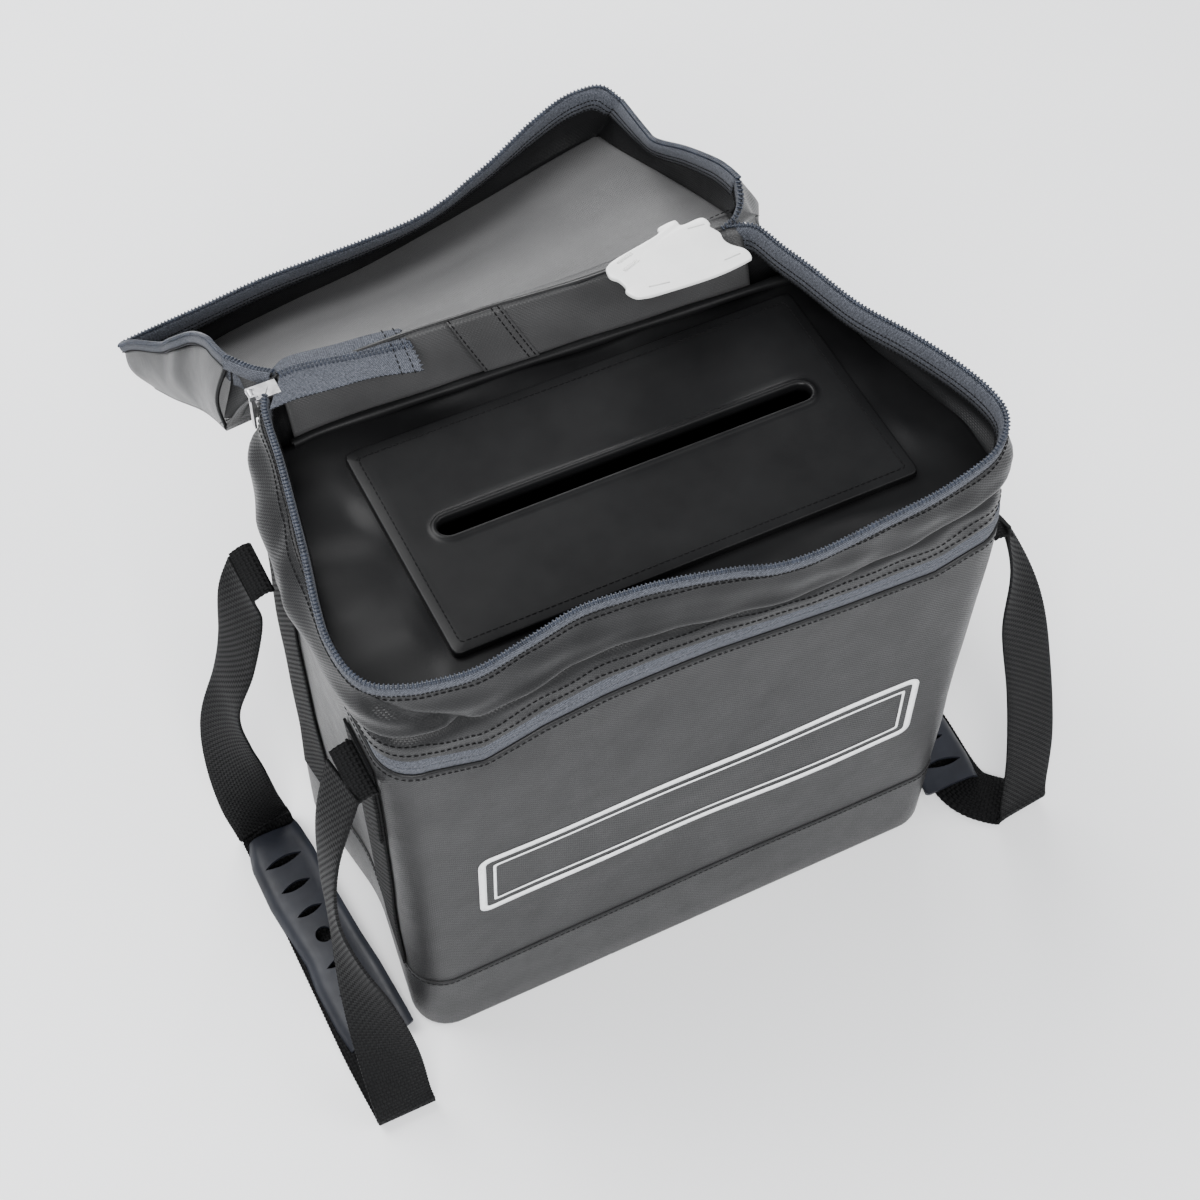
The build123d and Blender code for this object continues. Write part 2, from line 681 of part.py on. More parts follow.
# Rubber grip: an arch over the strap, with a row of vent holes in its back
def grip(centre_x, centre_y):
    inner = grip_half_width - grip_wall
    with BuildSketch(Plane.XZ.offset(-centre_y - grip_length / 2)) as arch:
        with BuildLine():
            Line((centre_x - inner, floor_gap), (centre_x - grip_half_width, floor_gap))
            Line((centre_x - grip_half_width, floor_gap), (centre_x - grip_half_width, grip_leg))
            ThreePointArc(
                (centre_x - grip_half_width, grip_leg),
                (centre_x, grip_rise),
                (centre_x + grip_half_width, grip_leg),
            )
            Line((centre_x + grip_half_width, grip_leg), (centre_x + grip_half_width, floor_gap))
            Line((centre_x + grip_half_width, floor_gap), (centre_x + inner, floor_gap))
            Line((centre_x + inner, floor_gap), (centre_x + inner, grip_leg))
            ThreePointArc(
                (centre_x + inner, grip_leg),
                (centre_x, grip_rise - grip_wall),
                (centre_x - inner, grip_leg),
            )
            Line((centre_x - inner, grip_leg), (centre_x - inner, floor_gap))
        make_face()
    extrude(arch.sketch, amount=grip_length)
    with BuildSketch(Plane.XY.offset(grip_leg)) as holes:
        for step in range(-3, 4):
            with Locations((centre_x, centre_y + step * hole_pitch)):
                if step:
                    SlotOverall(hole_length, hole_width)
                else:
                    Circle(round_hole_radius)
    extrude(holes.sketch, amount=grip_rise, mode=Mode.SUBTRACT)


half_strap = strap_width / 2
fold_height = strap_pivot_height - tab_drop
tab_way = Vector(tab_reach, 0, -tab_drop).normalized()
leg_way = Vector(0.5, 0, -0.866)
for name, shares, side in (("left", left_strap_shares, -1), ("right", right_strap_shares, 1)):
    ends = {}
    for place, share in (("rear", strap_rear_share), ("front", strap_front_share)):
        y = half_depth * share
        reaches = [side_at(side, edge, strap_pivot_height) for edge in (y - half_strap, y + half_strap)]
        ends[place] = (y, max(reaches) + strap_end_gap)
    pivot_x = max(end[1] for end in ends.values()) + pivot_clearance
    fold_x = pivot_x + tab_reach

    # Short tabs between the side strips and the fold
    for place, (y, end_x) in ends.items():
        start = Vector(end_x, y, strap_pivot_height)
        stop = Vector(fold_x, y, fold_height) - tab_way * fold_gap
        with BuildPart() as tab:
            strap([(tuple(start), (1, 0, 0), (0, 1, 0)), (tuple(stop), tuple(tab_way), (0, 1, 0))], side)
        finish(tab.part, name + "_" + place + "_tab")

    # The hanging strap, from the rear fold round the grip to the front fold
    rear_start = Vector(fold_x, ends["rear"][0], fold_height) + leg_way * fold_gap
    front_stop = Vector(fold_x, ends["front"][0], fold_height) + leg_way * fold_gap
    sections = [(tuple(rear_start), tuple(leg_way), (0, 1, 0))]
    for (out, along, up), run, across in shares:
        height = strap_floor + (strap_pivot_height - strap_floor) * up
        sections.append(((pivot_x + handle_reach * out, half_depth * along, height), run, across))
    sections.append((tuple(front_stop), tuple(-leg_way), (0, 1, 0)))
    with BuildPart() as handle_strap:
        strap(sections, side)
    finish(handle_strap.part, name + "_handle_strap")

    rear_turn, front_turn = shares[7][0], shares[8][0]
    with BuildPart() as handle_grip:
        grip_x = pivot_x + handle_reach * rear_turn[0]
        grip(side * grip_x, half_depth * (rear_turn[1] + front_turn[1]) / 2)
    finish(handle_grip.part, name + "_handle_grip")
    print(name, "pivot", side * pivot_x, strap_pivot_height, "fold", side * fold_x, fold_height)

print("crest axis", crest_axis, "panel axis", panel_axis)
print("top pull pivot", top_pivot, "lower pull pivot", lower_pivot, "along", side_along)
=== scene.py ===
import bpy, bmesh, math
import numpy as np
from mathutils import Matrix, Vector


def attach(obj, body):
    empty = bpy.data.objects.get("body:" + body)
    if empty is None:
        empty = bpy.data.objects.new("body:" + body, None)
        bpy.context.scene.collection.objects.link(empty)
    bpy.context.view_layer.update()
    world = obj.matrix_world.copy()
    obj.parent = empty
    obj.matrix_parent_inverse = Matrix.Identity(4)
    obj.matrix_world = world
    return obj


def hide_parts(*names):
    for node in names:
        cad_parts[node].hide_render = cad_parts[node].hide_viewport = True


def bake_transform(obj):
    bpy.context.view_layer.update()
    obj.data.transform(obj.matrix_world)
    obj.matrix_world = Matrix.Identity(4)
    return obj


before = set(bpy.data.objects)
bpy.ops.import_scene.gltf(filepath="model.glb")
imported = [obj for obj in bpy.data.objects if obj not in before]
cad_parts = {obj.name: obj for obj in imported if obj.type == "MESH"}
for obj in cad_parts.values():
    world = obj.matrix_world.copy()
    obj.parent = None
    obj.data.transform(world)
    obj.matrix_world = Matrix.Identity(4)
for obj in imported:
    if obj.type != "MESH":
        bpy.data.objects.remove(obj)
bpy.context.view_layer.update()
print("frame loaded")

mm = 0.001      # places below are written in millimetres

# Camera and lights
camera = {"eye": (-0.419265, -0.750822, 1.454114), "azimuth": -28.12, "elevation": 54.557, "roll": 1.885,
          "lens": 69.99, "sensor": 36}
azimuth, elevation, tilt = (math.radians(camera[key]) for key in ("azimuth", "elevation", "roll"))
back = Vector((math.sin(azimuth) * math.cos(elevation), -math.cos(azimuth) * math.cos(elevation),
               math.sin(elevation)))
right = Vector((math.cos(azimuth), math.sin(azimuth), 0))
up = back.cross(right)
viewRight = right * math.cos(tilt) + up * math.sin(tilt)
viewUp = up * math.cos(tilt) - right * math.sin(tilt)
lensData = bpy.data.cameras.new("photoCamera")
lensData.lens, lensData.sensor_width = camera["lens"], camera["sensor"]
cameraObject = bpy.data.objects.new("photoCamera", lensData)
axes = Matrix((viewRight, viewUp, back)).transposed().to_4x4()
cameraObject.matrix_world = Matrix.Translation(camera["eye"]) @ axes
bpy.context.collection.objects.link(cameraObject)
bpy.context.scene.camera = cameraObject

lights = {
    "backSoftbox": {"place": (0.8, 2.9, 1.15), "size": 2.1, "power": 85},
    "topSoftbox": {"place": (-1.1, 1.3, 2.7), "size": 2.0, "power": 110},
    "keySoftbox": {"place": (-1.0, -2.3, 2.4), "size": 1.8, "power": 150},
    "fillSoftbox": {"place": (1.9, -1.6, 2.3), "size": 2.0, "power": 48},
}
lightAim = Vector((0, 0, 0.25))
for name, light in lights.items():
    lamp = bpy.data.lights.new(name, "AREA")
    lamp.energy, lamp.size, lamp.shape = light["power"], light["size"], "SQUARE"
    lampObject = bpy.data.objects.new(name, lamp)
    lampObject.location = light["place"]
    lampObject.rotation_euler = (lightAim - Vector(light["place"])).to_track_quat("-Z", "Y").to_euler()
    bpy.context.collection.objects.link(lampObject)
room = {"colour": (0.93, 0.95, 1, 1), "strength": 0.5}
world = bpy.data.worlds.new("paleRoom")
bpy.context.scene.world = world
world.use_nodes = True
worldLight = next(node for node in world.node_tree.nodes if node.type == "BACKGROUND")
worldLight.inputs["Color"].default_value = room["colour"]
worldLight.inputs["Strength"].default_value = room["strength"]


# Materials: nodes that all of them use
def nodeIn(tree, kind, settings=None, **inputs):
    node = tree.nodes.new(kind)
    for key, value in (settings or {}).items():
        setattr(node, key, value)
    for key, value in inputs.items():
        socket = node.inputs[int(key[1:])] if key[0] == "i" and key[1:].isdigit() else node.inputs[key]
        if isinstance(value, bpy.types.NodeSocket):
            tree.links.new(value, socket)
        else:
            socket.default_value = value
    return node


def newSurface(name, look):
    made = bpy.data.materials.new(name)
    made.use_nodes = True
    shader = made.node_tree.nodes["Principled BSDF"]
    values = {
        "Roughness": look["roughness"], "Metallic": look.get("metallic", 0),
        "Specular IOR Level": look.get("specular", 0.5), "Sheen Weight": look.get("sheen", 0),
        "Sheen Roughness": 0.5, "Coat Weight": look.get("coat", 0), "Coat Roughness": 0.15,
        "Emission Color": (1, 1, 1, 1), "Emission Strength": look.get("glow", 0),
    }
    for socket, value in values.items():
        shader.inputs[socket].default_value = value
    return made, made.node_tree, shader


def coordinates(tree, source):
    return tree.nodes.new("ShaderNodeTexCoord").outputs[source]


def calc(tree, operation, first, second=0.0):
    return nodeIn(tree, "ShaderNodeMath", {"operation": operation}, i0=first, i1=second).outputs[0]


def noiseOf(tree, place, scale, detail=3.0, roughness=0.55):
    return nodeIn(tree, "ShaderNodeTexNoise", None, Vector=place, Scale=scale, Detail=detail,
                  Roughness=roughness).outputs[0]


def ramp(tree, factor, low, high, start=0.3, end=0.7):
    node = nodeIn(tree, "ShaderNodeValToRGB", None, Fac=factor)
    node.color_ramp.elements[0].position, node.color_ramp.elements[1].position = start, end
    node.color_ramp.elements[0].color, node.color_ramp.elements[1].color = (*low, 1), (*high, 1)
    return node.outputs[0]


def spread(tree, factor, low, high):
    return nodeIn(tree, "ShaderNodeMapRange", None, i0=factor, i3=low, i4=high).outputs[0]


def bumped(tree, shader, height, strength, distance, under=None):
    bump = nodeIn(tree, "ShaderNodeBump", None, Height=height, Strength=strength, Distance=distance)
    if under:
        tree.links.new(under, bump.inputs["Normal"])
    tree.links.new(bump.outputs[0], shader.inputs["Normal"])
    return bump.outputs[0]


# Threads that cross over and under each other, from 0 in the gaps to 1 on the threads
def weaveOf(tree, place, pitchAcross, pitchAlong, twill=0.0):
    split = nodeIn(tree, "ShaderNodeSeparateXYZ", None, i0=place)
    across = calc(tree, "MULTIPLY", split.outputs[0], math.pi / pitchAcross)
    along = calc(tree, "MULTIPLY", split.outputs[1], math.pi / pitchAlong)
    if twill:
        across = calc(tree, "ADD", across, calc(tree, "MULTIPLY", along, twill))
    first = calc(tree, "ABSOLUTE", calc(tree, "SINE", across))
    second = calc(tree, "ABSOLUTE", calc(tree, "SINE", along))
    swap = calc(tree, "MULTIPLY", calc(tree, "SINE", across), calc(tree, "SINE", along))
    side = calc(tree, "GREATER_THAN", swap, 0.0)
    over = calc(tree, "MULTIPLY", first, side)
    under = calc(tree, "MULTIPLY", second, calc(tree, "SUBTRACT", 1.0, side))
    return calc(tree, "ADD", over, under)


fabricPitch = 0.0013      # of the weave under the coating


def fabricWeave(tree):
    return weaveOf(tree, coordinates(tree, "UV"), fabricPitch, fabricPitch * 0.9)


# A surface clouded between two colours. Clouds, gloss and relief begin with the noise's scale and detail;
# gloss ends with its range, and relief, weave and grain with their strength and depth
def cloudySurface(name, look):
    made, tree, shader = newSurface(name, look)
    place = coordinates(tree, "Object")
    colour = ramp(tree, noiseOf(tree, place, *look["clouds"]), look["dark"], look["light"])
    tree.links.new(colour, shader.inputs["Base Color"])
    if "gloss" in look:
        scale, detail, low, high = look["gloss"]
        gloss = noiseOf(tree, place, scale, detail)
        tree.links.new(spread(tree, gloss, low, high), shader.inputs["Roughness"])
    under = None
    if "relief" in look:
        scale, detail, strength, depth = look["relief"]
        under = bumped(tree, shader, noiseOf(tree, place, scale, detail), strength, depth)
    if "weave" in look:
        bumped(tree, shader, fabricWeave(tree), *look["weave"], under)
    if "grain" in look:
        scale, strength, depth = look["grain"]
        grain = nodeIn(tree, "ShaderNodeTexVoronoi", None, Vector=place, Scale=scale).outputs["Distance"]
        bumped(tree, shader, grain, strength, depth, under)
    return made


fabric = cloudySurface("coatedFabric", {
    "dark": (0.0055, 0.0056, 0.006), "light": (0.0095, 0.0097, 0.0104), "clouds": (28, 3), "roughness": 0.42,
    "sheen": 0.01, "specular": 0.23, "gloss": (60, 5, 0.3, 0.48), "relief": (45, 4, 0.25, 0.0012),
    "weave": (0.45, 0.00022)})

# the inner side of the fabric, its colour made paler as painted sheen; much paler again in the open lid, as
# painted reflection
liningLook = {"clouds": (14, 3), "roughness": 0.38, "specular": 0.3, "gloss": (60, 5, 0.3, 0.48),
              "relief": (30, 3, 0.2, 0.0012), "weave": (0.5, 0.00022)}
# painted sheen: the lining's colour is made paler than the fabric's to stand for the light on it
liningPaintedSheen = cloudySurface("liningPaintedSheen", {"dark": (0.028, 0.028, 0.0285), "light": (0.044, 0.044, 0.045),
                                              **liningLook})
# painted reflection: the lid's lining gets a much paler colour that stands for the soft light reflected in it
lidLiningPaintedReflection = cloudySurface("lidLiningPaintedReflection", {"dark": (0.085, 0.085, 0.086),
                                                    "light": (0.112, 0.112, 0.113),
                                                    **liningLook})

smoothCover = cloudySurface("smoothCover", {
    "dark": (0.0035, 0.0035, 0.0038), "light": (0.006, 0.0061, 0.0064), "clouds": (20, 3), "roughness": 0.36,
    "specular": 0.18, "gloss": (70, 4, 0.3, 0.46), "relief": (22, 2, 0.08, 0.001),
    "grain": (900, 0.15, 0.0001)})

zipCoil = cloudySurface("zipCoil", {
    "dark": (0.009, 0.012, 0.02), "light": (0.028, 0.035, 0.052), "clouds": (160, 3), "roughness": 0.35,
    "specular": 0.4, "relief": (900, 3, 0.15, 0.0002)})

gripRubber = cloudySurface("gripRubber", {
    "dark": (0.007, 0.008, 0.012), "light": (0.014, 0.016, 0.023), "clouds": (35, 4), "roughness": 0.5,
    "specular": 0.35, "gloss": (130, 5, 0.38, 0.62), "relief": (1400, 2, 0.2, 0.0002)})

sealPlastic = cloudySurface("sealPlastic", {
    "dark": (0.78, 0.79, 0.78), "light": (0.86, 0.86, 0.85), "clouds": (40, 3), "roughness": 0.22,
    "coat": 0.3, "relief": (250, 2, 0.06, 0.0003)})

sliderMetal = cloudySurface("sliderMetal", {
    "dark": (0.42, 0.42, 0.43), "light": (0.72, 0.72, 0.73), "clouds": (220, 5), "roughness": 0.3,
    "metallic": 1, "gloss": (500, 5, 0.22, 0.5), "relief": (900, 3, 0.15, 0.0002)})

boardGrey = cloudySurface("boardGrey", {
    "dark": (0.1, 0.1, 0.1), "light": (0.16, 0.16, 0.16), "clouds": (120, 6), "roughness": 0.75,
    "relief": (600, 3, 0.3, 0.0003)})

threadBlack = cloudySurface("threadBlack", {
    "dark": (0.001, 0.001, 0.0012), "light": (0.004, 0.004, 0.0045), "clouds": (400, 3), "roughness": 0.7,
    "specular": 0.15, "relief": (3000, 2, 0.4, 0.0002)})

paleFloor = cloudySurface("paleFloor", {
    "dark": (0.9, 0.905, 0.92), "light": (0.93, 0.935, 0.945), "clouds": (3, 2), "roughness": 0.6,
    "glow": 0.14})

tapeLook = {"dark": (0.006, 0.0075, 0.011), "light": (0.14, 0.15, 0.178), "from": 0.12, "to": 0.7,
            "across": 0.0012, "along": 0.00096, "twill": 0.6, "fuzz": 900, "weave": (0.6, 0.0003),
            "roughness": 0.85, "sheen": 0.05, "specular": 0.2}
zipTape, tree, shader = newSurface("zipTape", tapeLook)
weave = weaveOf(tree, coordinates(tree, "UV"), tapeLook["across"], tapeLook["along"], tapeLook["twill"])
worn = calc(tree, "MULTIPLY", weave, noiseOf(tree, coordinates(tree, "Object"), tapeLook["fuzz"]))
colour = ramp(tree, worn, tapeLook["dark"], tapeLook["light"], tapeLook["from"], tapeLook["to"])
tree.links.new(colour, shader.inputs["Base Color"])
bumped(tree, shader, weave, *tapeLook["weave"])

webbingLook = {"dark": (0.001, 0.001, 0.0012), "light": (0.0055, 0.0056, 0.006), "from": 0.15, "to": 0.9,
               "across": 0.0021, "along": 0.0027, "clouds": (120, 4), "wear": (0.6, 1.2),
               "weave": (0.9, 0.0007), "roughness": 0.7, "specular": 0.12}
webbing, tree, shader = newSurface("webbing", webbingLook)
weave = weaveOf(tree, coordinates(tree, "UV"), webbingLook["across"], webbingLook["along"])
wear = spread(tree, noiseOf(tree, coordinates(tree, "Object"), *webbingLook["clouds"]), *webbingLook["wear"])
shade = calc(tree, "MULTIPLY", weave, wear)
colour = ramp(tree, shade, webbingLook["dark"], webbingLook["light"], webbingLook["from"], webbingLook["to"])
tree.links.new(colour, shader.inputs["Base Color"])
bumped(tree, shader, weave, *webbingLook["weave"])

printLook = {"dark": (0.55, 0.56, 0.57), "light": (0.86, 0.87, 0.88), "from": 0.2, "to": 0.45,
             "wear": (350, 6), "weave": (0.3, 0.0002), "roughness": 0.5}
whitePrint, tree, shader = newSurface("whitePrint", printLook)
wear = noiseOf(tree, coordinates(tree, "Object"), *printLook["wear"])
colour = ramp(tree, wear, printLook["dark"], printLook["light"], printLook["from"], printLook["to"])
tree.links.new(colour, shader.inputs["Base Color"])
bumped(tree, shader, fabricWeave(tree), *printLook["weave"])
print("materials made")


# Paths and meshes
def curveThrough(points, closed=False, perSpan=24):
    path = np.array(points, float)
    ends = (path[-1:], path[:2]) if closed else (2 * path[:1] - path[1:2], 2 * path[-1:] - path[-2:-1])
    path = np.vstack([ends[0], path, ends[1]])
    first, second, third, fourth = path[:-3], path[1:-2], path[2:-1], path[3:]
    step = np.linspace(0, 1, perSpan, endpoint=False)[None, :, None]
    first, second, third, fourth = (part[:, None, :] for part in (first, second, third, fourth))
    dense = 0.5 * (2 * second + (third - first) * step
                   + (2 * first - 5 * second + 4 * third - fourth) * step ** 2
                   + (3 * second - first - 3 * third + fourth) * step ** 3)
    dense = dense.reshape(-1, path.shape[1])
    return dense if closed else np.vstack([dense, path[-2]])


def evenly(path, count):
    steps = np.linalg.norm(np.diff(path[:, :3], axis=0), axis=1)
    length = np.concatenate([[0], np.cumsum(steps)])
    at = np.linspace(0, length[-1], count)
    return np.stack([np.interp(at, length, path[:, axis]) for axis in range(path.shape[1])], axis=1)


def smoothPath(points, count):
    return evenly(curveThrough(points), count)


# A closed path cut at its corners; each side gets its own number of even steps
def sidesOf(path, corners, counts):
    away = [np.linalg.norm(path[:, :2] - np.array(corner)[None, :2], axis=1) for corner in corners]
    at = [int(np.argmin(distances)) for distances in away]
    path = np.roll(path, -at[0], axis=0)
    at = [(index - at[0]) % len(path) for index in at] + [len(path)]
    path = np.vstack([path, path[:1]])
    return np.vstack([evenly(path[at[side]:at[side + 1] + 1], counts[side] + 1)[:-1]
                      for side in range(len(counts))])


def roundedOutline(points, radii, arcSteps=13, spacing=2.0):
    made = []
    count = len(points)
    points = [np.array(point, float) for point in points]
    for index, corner in enumerate(points):
        before, after = points[index - 1] - corner, points[(index + 1) % count] - corner
        before, after = before / np.linalg.norm(before), after / np.linalg.norm(after)
        half = math.acos(np.clip(before @ after, -1, 1)) / 2
        reach = radii[index] / math.tan(half)
        centre = corner + (before + after) / np.linalg.norm(before + after) * radii[index] / math.sin(half)
        start, end = corner + before * reach - centre, corner + after * reach - centre
        for share in np.linspace(0, 1, arcSteps):
            way = start * (1 - share) + end * share
            made.append(centre + way / np.linalg.norm(way) * radii[index])
    return filledIn(made, spacing)


# More points on a closed path's straight stretches
def filledIn(points, spacing):
    dense = []
    for index, point in enumerate(points):
        other = points[(index + 1) % len(points)]
        steps = max(1, int(np.linalg.norm(other - point) / spacing))
        dense += [point + (other - point) * part / steps for part in range(steps)]
    return np.array(dense)


def atHeight(ring, height):
    return np.hstack([ring[:, :2], np.full((len(ring), 1), float(height))])


# Outward directions of a ring or path seen from above; rings run left side, front, right, rear
def outwardOf(ring, closed=True):
    flat = ring[:, :2]
    if closed:
        way = np.roll(flat, -1, axis=0) - np.roll(flat, 1, axis=0)
    else:
        way = np.gradient(flat, axis=0)
    way = way / np.maximum(np.linalg.norm(way, axis=1, keepdims=True), 1e-9)
    return np.stack([way[:, 1], -way[:, 0], np.zeros(len(way))], axis=1)


def gridUv(grid, closed):
    rows = np.linalg.norm(np.diff(grid, axis=0), axis=2).mean(axis=1)
    loop = np.concatenate([grid, grid[:, :1]], axis=1) if closed else grid
    columns = np.linalg.norm(np.diff(loop, axis=1), axis=2).mean(axis=0)
    return np.concatenate([[0], np.cumsum(columns)]), np.concatenate([[0], np.cumsum(rows)])


# A sheet from a grid of points; columns run round or along it, rows across it
def sheet(name, grid, surface, closed=False, thickness=0.0, offset=-1.0, loopRows=False):
    grid = np.asarray(grid, float) * mm
    rows, columns = grid.shape[:2]
    uAt, vAt = gridUv(grid, closed)
    vAt = np.concatenate([vAt, [vAt[-1] + 0.002]])
    mesh = bpy.data.meshes.new(name)
    faces, spots = [], []
    for row in range(rows if loopRows else rows - 1):
        nextRow = (row + 1) % rows
        for column in range(columns if closed else columns - 1):
            nextColumn = (column + 1) % columns
            faces.append((row * columns + column, row * columns + nextColumn,
                          nextRow * columns + nextColumn, nextRow * columns + column))
            spots += [uAt[column], vAt[row], uAt[column + 1], vAt[row], uAt[column + 1], vAt[row + 1],
                      uAt[column], vAt[row + 1]]
    mesh.from_pydata(grid.reshape(-1, 3).tolist(), [], faces)
    mesh.uv_layers.new(name="UVMap").data.foreach_set("uv", spots)
    mesh.materials.append(surface)
    mesh.polygons.foreach_set("use_smooth", [True] * len(faces))
    piece = bpy.data.objects.new(name, mesh)
    bpy.context.collection.objects.link(piece)
    if thickness:
        wall = piece.modifiers.new("thickness", "SOLIDIFY")
        wall.thickness, wall.offset, wall.use_even_offset = thickness * mm, offset, True
    return piece


# Merged at its doubles, with its normals turned outwards
def facing(piece, mergeReach=1e-6):
    cleaner = bmesh.new()
    cleaner.from_mesh(piece.data)
    bmesh.ops.remove_doubles(cleaner, verts=cleaner.verts, dist=mergeReach)
    bmesh.ops.recalc_face_normals(cleaner, faces=cleaner.faces)
    cleaner.to_mesh(piece.data)
    cleaner.free()
    return piece


def unit(vectors):
    return vectors / np.maximum(np.linalg.norm(vectors, axis=-1, keepdims=True), 1e-9)


def closeEnds(piece, rowCount, columnCount):
    closer = bmesh.new()
    closer.from_mesh(piece.data)
    closer.verts.ensure_lookup_table()
    last = (rowCount - 1) * columnCount
    closer.faces.new([closer.verts[index] for index in range(columnCount)])
    closer.faces.new([closer.verts[last + index] for index in reversed(range(columnCount))])
    bmesh.ops.recalc_face_normals(closer, faces=closer.faces)
    closer.to_mesh(piece.data)
    closer.free()
    return piece


# once round the webbing's section, as shares of half its width and half its thickness
upperHalfShares = [(-1, 0.35), (-0.985, 1), (-0.7, 1), (-0.35, 1), (0, 1), (0.35, 1), (0.7, 1), (0.985, 1),
                   (1, 0.35)]
webbingShares = upperHalfShares + [(-share, -lift) for share, lift in upperHalfShares]


# Flat webbing along a path, with its woven edges standing out a little at every pick
def ribbon(name, centres, across, width=40.0, thickness=2.0, pick=1.4, teeth=0.45, clearance=0.4):
    dense = curveThrough(np.hstack([np.array(centres, float), np.array(across, float)]))
    length = np.linalg.norm(np.diff(dense[:, :3], axis=0), axis=1).sum()
    path = evenly(dense, max(4, int(length / pick)))
    middle = path[:, :3]
    run = unit(np.gradient(middle, axis=0))
    side = path[:, 3:6]
    side = unit(side - run * (side * run).sum(axis=1, keepdims=True))
    normal = np.cross(run, side)
    half, thick = width / 2, thickness / 2
    edge = half + teeth * np.where(np.arange(len(middle)) % 2, 0.5, -0.5)
    grid = np.stack([middle + side * (edge * share)[:, None] + normal * thick * lift
                     for share, lift in webbingShares], axis=1)
    # it lies on the floor, not in it
    grid[:, :, 2] += np.maximum(0, clearance - grid[:, :, 2].min(axis=1))[:, None]
    piece = sheet(name, grid, webbing, closed=True)
    # the UV runs flat over the webbing
    mesh = piece.data
    spots = np.zeros(len(mesh.loops) * 2)
    steps = np.linalg.norm(np.diff(middle, axis=0), axis=1)
    lengthAt = np.concatenate([[0], np.cumsum(steps)]) * mm
    for loop in mesh.loops:
        row, column = divmod(loop.vertex_index, len(webbingShares))
        spots[2 * loop.index] = webbingShares[column][0] * half * mm
        spots[2 * loop.index + 1] = lengthAt[row]
    mesh.uv_layers[0].data.foreach_set("uv", spots)
    return closeEnds(piece, len(middle), len(webbingShares))


# Geometry Nodes: small beads at an even pitch along paths, each laid by the path and its up vector
def beadTree(name, surface):
    tree = bpy.data.node_groups.new(name, "GeometryNodeTree")
    face = tree.interface
    face.new_socket("Geometry", in_out="INPUT", socket_type="NodeSocketGeometry")
    for label, value in (("Pitch", 0.004), ("Length", 0.003), ("Width", 0.001), ("Height", 0.0006)):
        face.new_socket(label, in_out="INPUT", socket_type="NodeSocketFloat").default_value = value
    face.new_socket("Geometry", in_out="OUTPUT", socket_type="NodeSocketGeometry")
    entry, leave = nodeIn(tree, "NodeGroupInput"), nodeIn(tree, "NodeGroupOutput")
    curve = nodeIn(tree, "GeometryNodeMeshToCurve", None, Mesh=entry.outputs["Geometry"])
    steps = nodeIn(tree, "GeometryNodeResampleCurve", {"mode": "LENGTH"}, Curve=curve.outputs[0],
                   Length=entry.outputs["Pitch"])
    size = nodeIn(tree, "ShaderNodeCombineXYZ", None, X=entry.outputs["Length"], Y=entry.outputs["Width"],
                  Z=entry.outputs["Height"])
    ball = nodeIn(tree, "GeometryNodeMeshIcoSphere", None, Radius=0.5, Subdivisions=2)
    upward = nodeIn(tree, "GeometryNodeInputNamedAttribute", {"data_type": "FLOAT_VECTOR"}, Name="up")
    turn = nodeIn(tree, "FunctionNodeAxesToRotation", {"primary_axis": "X", "secondary_axis": "Z"})
    tree.links.new(nodeIn(tree, "GeometryNodeInputTangent").outputs[0], turn.inputs[0])
    tree.links.new(upward.outputs[0], turn.inputs[1])
    balls = nodeIn(tree, "GeometryNodeInstanceOnPoints", None, Points=steps.outputs[0],
                   Instance=ball.outputs[0], Rotation=turn.outputs[0], Scale=size.outputs[0])
    real = nodeIn(tree, "GeometryNodeRealizeInstances", None, Geometry=balls.outputs[0])
    smooth = nodeIn(tree, "GeometryNodeSetShadeSmooth", None, Geometry=real.outputs[0])
    dressed = nodeIn(tree, "GeometryNodeSetMaterial", None, Geometry=smooth.outputs[0], Material=surface)
    tree.links.new(dressed.outputs[0], leave.inputs[0])
    return tree


thread = {"surface": threadBlack, "slot": "webbing"}
teeth = {"surface": zipCoil, "slot": "zip_coil"}
beads = {
    "stitch": {"Pitch": 4, "Length": 3.3, "Width": 0.9, "Height": 0.6, **thread},
    "tooth": {"Pitch": 2.6, "Length": 1.7, "Width": 4.2, "Height": 2.6, **teeth},
    "seam": {"Pitch": 2.6, "Length": 2.3, "Width": 0.9, "Height": 0.6, **thread},
    "smallTooth": {"Pitch": 2.4, "Length": 1.6, "Width": 3.0, "Height": 2.4, **teeth},
    "ridge": {"Pitch": 2, "Length": 0.9, "Width": 4.2, "Height": 1, **thread},
}
for kind, bead in beads.items():
    bead["tree"] = beadTree(kind + "Row", bead["surface"])
rows = {}       # (kind, body) -> paths with their up vectors


def addRow(kind, body, path, upward):
    path = np.array(path, float)
    upward = np.broadcast_to(np.array(upward, float), path.shape)
    rows.setdefault((kind, body), []).append((path, upward))


# One mesh for each kind of bead on each body
def makeRows():
    for (kind, body), paths in rows.items():
        name, bead = kind + "Rows_" + body, beads[kind]
        points, edges, ups = [], [], []
        for path, upward in paths:
            first = len(points)
            points += (path * mm).tolist()
            ups += upward.tolist()
            edges += [(first + index, first + index + 1) for index in range(len(path) - 1)]
        mesh = bpy.data.meshes.new(name)
        mesh.from_pydata(points, edges, [])
        upAt = mesh.attributes.new("up", "FLOAT_VECTOR", "POINT").data
        upAt.foreach_set("vector", np.array(ups, float).ravel())
        piece = bpy.data.objects.new(name, mesh)
        bpy.context.collection.objects.link(piece)
        modifier = piece.modifiers.new("beads", "NODES")
        modifier.node_group = bead["tree"]
        for item in bead["tree"].interface.items_tree:
            if item.in_out == "INPUT" and item.name in bead:
                modifier[item.identifier] = float(bead[item.name]) * mm
        if not finished(piece).data.materials:
            piece.data.materials.append(bead["surface"])
        settle(piece, body, bead["slot"])


